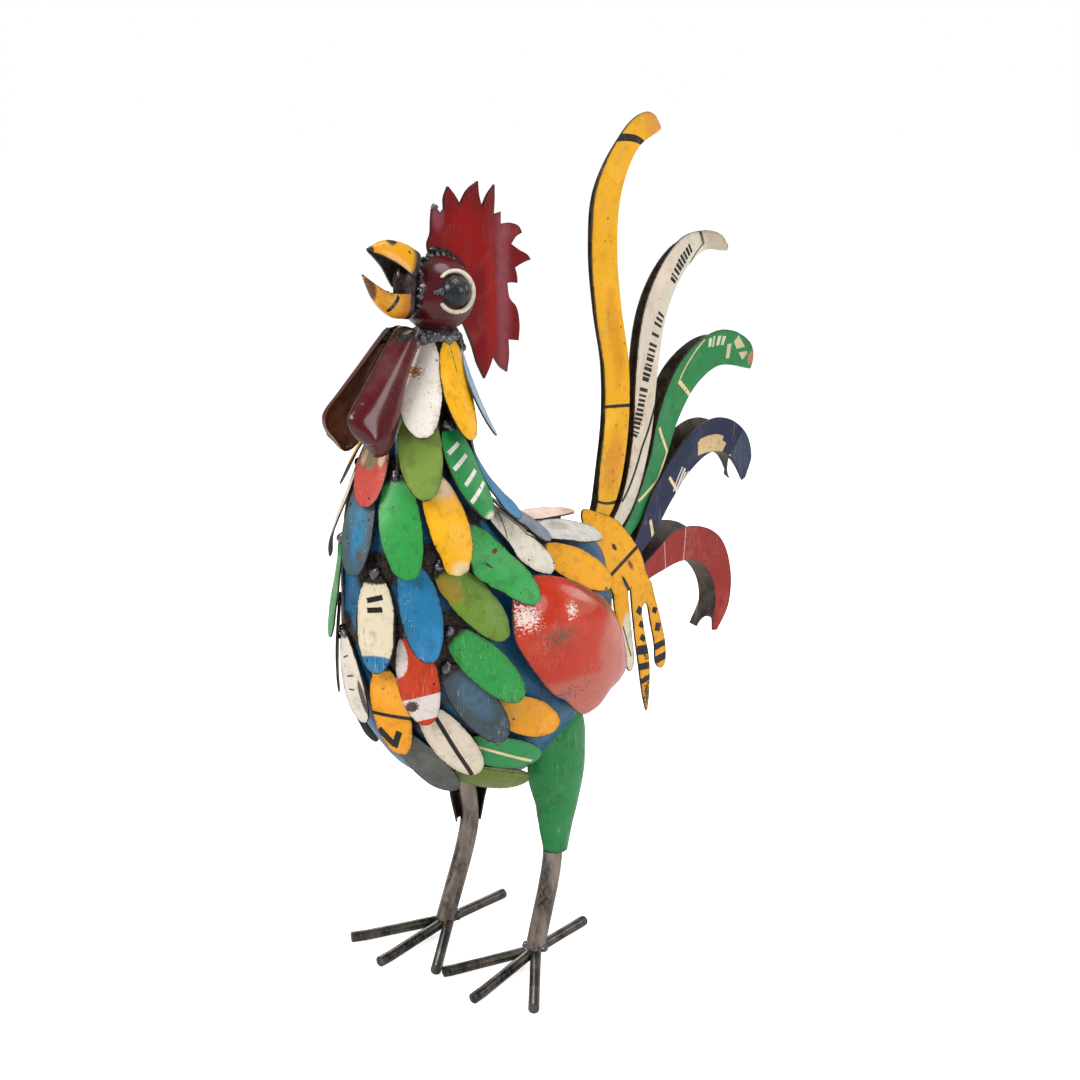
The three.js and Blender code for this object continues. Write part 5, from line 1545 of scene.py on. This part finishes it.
def weld_tree():
    """Geometry Nodes: each point grows a small heap of molten lumps that run into each other."""
    tree = bpy.data.node_groups.new("Weld lumps", "GeometryNodeTree")
    sockets = [
        ("Geometry", "NodeSocketGeometry", None), ("Lumps", "NodeSocketInt", 6), ("Spread", FLOAT, 0.5),
        ("Grain", FLOAT, 0.6 * MM), ("Roughness", FLOAT, 0.5 * MM), ("Seed", "NodeSocketInt", 4),
        ("Material", "NodeSocketMaterial", None)]
    for label, kind, default in sockets:
        socket = tree.interface.new_socket(label, in_out="INPUT", socket_type=kind)
        if default is not None:
            socket.default_value = default
    tree.interface.new_socket("Geometry", in_out="OUTPUT", socket_type="NodeSocketGeometry")
    g = Tree(tree)
    source = g.add("NodeGroupInput").outputs
    points = g.add("GeometryNodeMeshToPoints", {"Mesh": source["Geometry"]}).outputs[0]
    copies = {"Geometry": points, "Amount": source["Lumps"]}
    heap = g.add("GeometryNodeDuplicateElements", copies, domain="POINT").outputs[0]
    size = g.add("GeometryNodeInputNamedAttribute", {"Name": "size"}, data_type="FLOAT").outputs[0]
    out = g.add("GeometryNodeInputNamedAttribute", {"Name": "out"}, data_type="FLOAT_VECTOR").outputs[0]
    scatter = g.add("FunctionNodeRandomValue", {"Seed": source["Seed"]}, data_type="FLOAT_VECTOR")
    g.feed(scatter.inputs[0], (-1, -1, -1))
    g.feed(scatter.inputs[1], (1, 1, 1))
    offset = g.scaled(scatter.outputs[0], g.times(size, source["Spread"]))
    outward = g.vector("DOT_PRODUCT", offset, out, output=1)
    flatter = g.scaled(out, g.times(outward, -LUMP["flattened"]))
    moved = g.moved(heap, g.vector("ADD", offset, flatter))
    vary = g.add("FunctionNodeRandomValue", {"Seed": g.plus(source["Seed"], 7.0)}, data_type="FLOAT")
    vary.inputs[2].default_value = LUMP["smallest"]
    vary.inputs[3].default_value = LUMP["largest"]
    radius = g.times(size, vary.outputs[1])
    melt = {"Points": moved, "Radius": radius}
    cloud = g.add("GeometryNodePointsToVolume", melt, resolution_mode="VOXEL_SIZE")
    g.feed(cloud.inputs["Voxel Size"], source["Grain"])
    skin = g.add("GeometryNodeVolumeToMesh", {"Volume": cloud.outputs[0]}, resolution_mode="VOXEL_SIZE")
    g.feed(skin.inputs["Voxel Size"], source["Grain"])
    real = g.add("GeometryNodeRealizeInstances", {"Geometry": skin.outputs[0]}).outputs[0]
    place = g.add("GeometryNodeInputPosition").outputs[0]
    rough = g.add("ShaderNodeTexNoise", {"Vector": place, "Scale": 180.0, "Detail": 1.0})
    centred = g.vector("SUBTRACT", rough.outputs["Color"], (0.5, 0.5, 0.5))
    bumpy = g.moved(real, g.scaled(centred, source["Roughness"]))
    smooth = g.add("GeometryNodeSetShadeSmooth", {"Geometry": bumpy}).outputs[0]
    finished = {"Geometry": smooth, "Material": source["Material"]}
    skin_with_finish = g.add("GeometryNodeSetMaterial", finished).outputs[0]
    g.feed(g.add("NodeGroupOutput").inputs[0], skin_with_finish)
    return tree


def build_welds():
    """All the noted welds as one mesh."""
    rows = np.array(WELDS, float)
    mesh = bpy.data.meshes.new("weld_spots")
    mesh.from_pydata(((rows[:, :3] + SHIFT) * MM).tolist(), [], [])
    out = mesh.attributes.new("out", "FLOAT_VECTOR", "POINT")
    out.data.foreach_set("vector", unit(rows[:, 3:6]).ravel())
    size = mesh.attributes.new("size", "FLOAT", "POINT")
    size.data.foreach_set("value", rows[:, 6] * MM)
    spots = bpy.data.objects.new("weld_spots", mesh)
    bpy.context.scene.collection.objects.link(spots)
    tree = weld_tree()
    grow = spots.modifiers.new("Weld lumps", "NODES")
    grow.node_group = tree
    finish = steel("weld_metal", 0x121113, 0x6E6B70, 0.1, coat=0.6, bump=0.2)
    by_name = {item.name: item.identifier for item in tree.interface.items_tree if item.in_out == "INPUT"}
    grow[by_name["Material"]] = finish
    grow[by_name["Seed"]] = 4
    bpy.context.view_layer.update()
    evaluated = spots.evaluated_get(bpy.context.evaluated_depsgraph_get())
    plain = bpy.data.meshes.new_from_object(evaluated)
    plain.name = "weld_lumps"
    bpy.data.objects.remove(spots)
    piece = bpy.data.objects.new("weld_lumps", plain)
    bpy.context.scene.collection.objects.link(piece)
    fit(piece, None, "dark_steel")


# ------------------------------------------------------------------ stage, lights and camera
CAMERA = {"place": (852.7, -887.3, 666.3), "aim": (-8.5, 69.1, 331.6), "lens": 54.4}
LIGHTS = {
    "key": {"place": (-0.3, -1.9, 1.7), "size": 1.1, "power": 32},
    "fill": {"place": (2.3, 0.3, 1.1), "size": 1.2, "power": 17},
    "top": {"place": (0.3, 0.1, 2.4), "size": 1.2, "power": 15},
    "back": {"place": (-1.8, 1.5, 1.4), "size": 1.2, "power": 16},
    "rim": {"place": (0.9, 2.0, 1.0), "size": 0.9, "power": 6},
}
STUDIO_LIGHT = 0.30
FLOOR = {"reach": 30.0, "grey": 0.9, "glow": 0.80}
LIT_POINT = (0, 0, 0.33)


def build_stage():
    scene = bpy.context.scene
    mesh = bpy.data.meshes.new("floor")
    far = FLOOR["reach"]
    mesh.from_pydata([(-far, -far, 0), (far, -far, 0), (far, far, 0), (-far, far, 0)], [], [(0, 1, 2, 3)])
    floor = bpy.data.objects.new("floor", mesh)
    scene.collection.objects.link(floor)
    pale = bpy.data.materials.new("pale_floor")
    pale.use_nodes = True
    shader = pale.node_tree.nodes["Principled BSDF"]
    shader.inputs["Base Color"].default_value = (*(FLOOR["grey"],) * 3, 1)
    shader.inputs["Roughness"].default_value = 0.9
    shader.inputs["Specular IOR Level"].default_value = 0.0
    shader.inputs["Emission Color"].default_value = (1, 1, 1, 1)
    seen = Tree(pale.node_tree).add("ShaderNodeLightPath").outputs["Is Camera Ray"]
    glow = Tree(pale.node_tree).math("MULTIPLY", seen, FLOOR["glow"])
    pale.node_tree.links.new(glow, shader.inputs["Emission Strength"])
    mesh.materials.append(pale)
    world = bpy.data.worlds.new("studio")
    scene.world = world
    world.use_nodes = True
    t = Tree(world.node_tree)
    seen = t.add("ShaderNodeLightPath").outputs["Is Camera Ray"]
    strength = t.plus(t.times(seen, 1 - STUDIO_LIGHT), STUDIO_LIGHT)
    background = world.node_tree.nodes["Background"]
    t.feed(background.inputs["Color"], (1, 1, 1, 1))
    t.feed(background.inputs["Strength"], strength)
    target = Vector(LIT_POINT)
    for name, spec in LIGHTS.items():
        lamp = bpy.data.lights.new(name, "AREA")
        lamp.shape = "DISK"
        lamp.size = spec["size"]
        lamp.energy = spec["power"]
        holder = bpy.data.objects.new(name, lamp)
        holder.location = spec["place"]
        holder.rotation_euler = (target - Vector(spec["place"])).to_track_quat("-Z", "Y").to_euler()
        scene.collection.objects.link(holder)
    scene.view_settings.view_transform = "Standard"


def build_camera():
    lens = bpy.data.cameras.new("camera")
    lens.lens = CAMERA["lens"]
    lens.sensor_width = 36
    lens.clip_start, lens.clip_end = 0.05, 100
    camera = bpy.data.objects.new("camera", lens)
    place = Vector((np.array(CAMERA["place"]) + SHIFT) * MM)
    aim = Vector((np.array(CAMERA["aim"]) + SHIFT) * MM)
    camera.location = place
    camera.rotation_euler = (aim - place).to_track_quat("-Z", "Y").to_euler()
    bpy.context.scene.collection.objects.link(camera)
    bpy.context.scene.camera = camera


build_plates()
build_head()
build_comb()
build_beak()
build_eyes()
build_wattles()
build_wings()
build_saddles()
build_tail()
build_legs()
build_body()
build_welds()
build_stage()
build_camera()
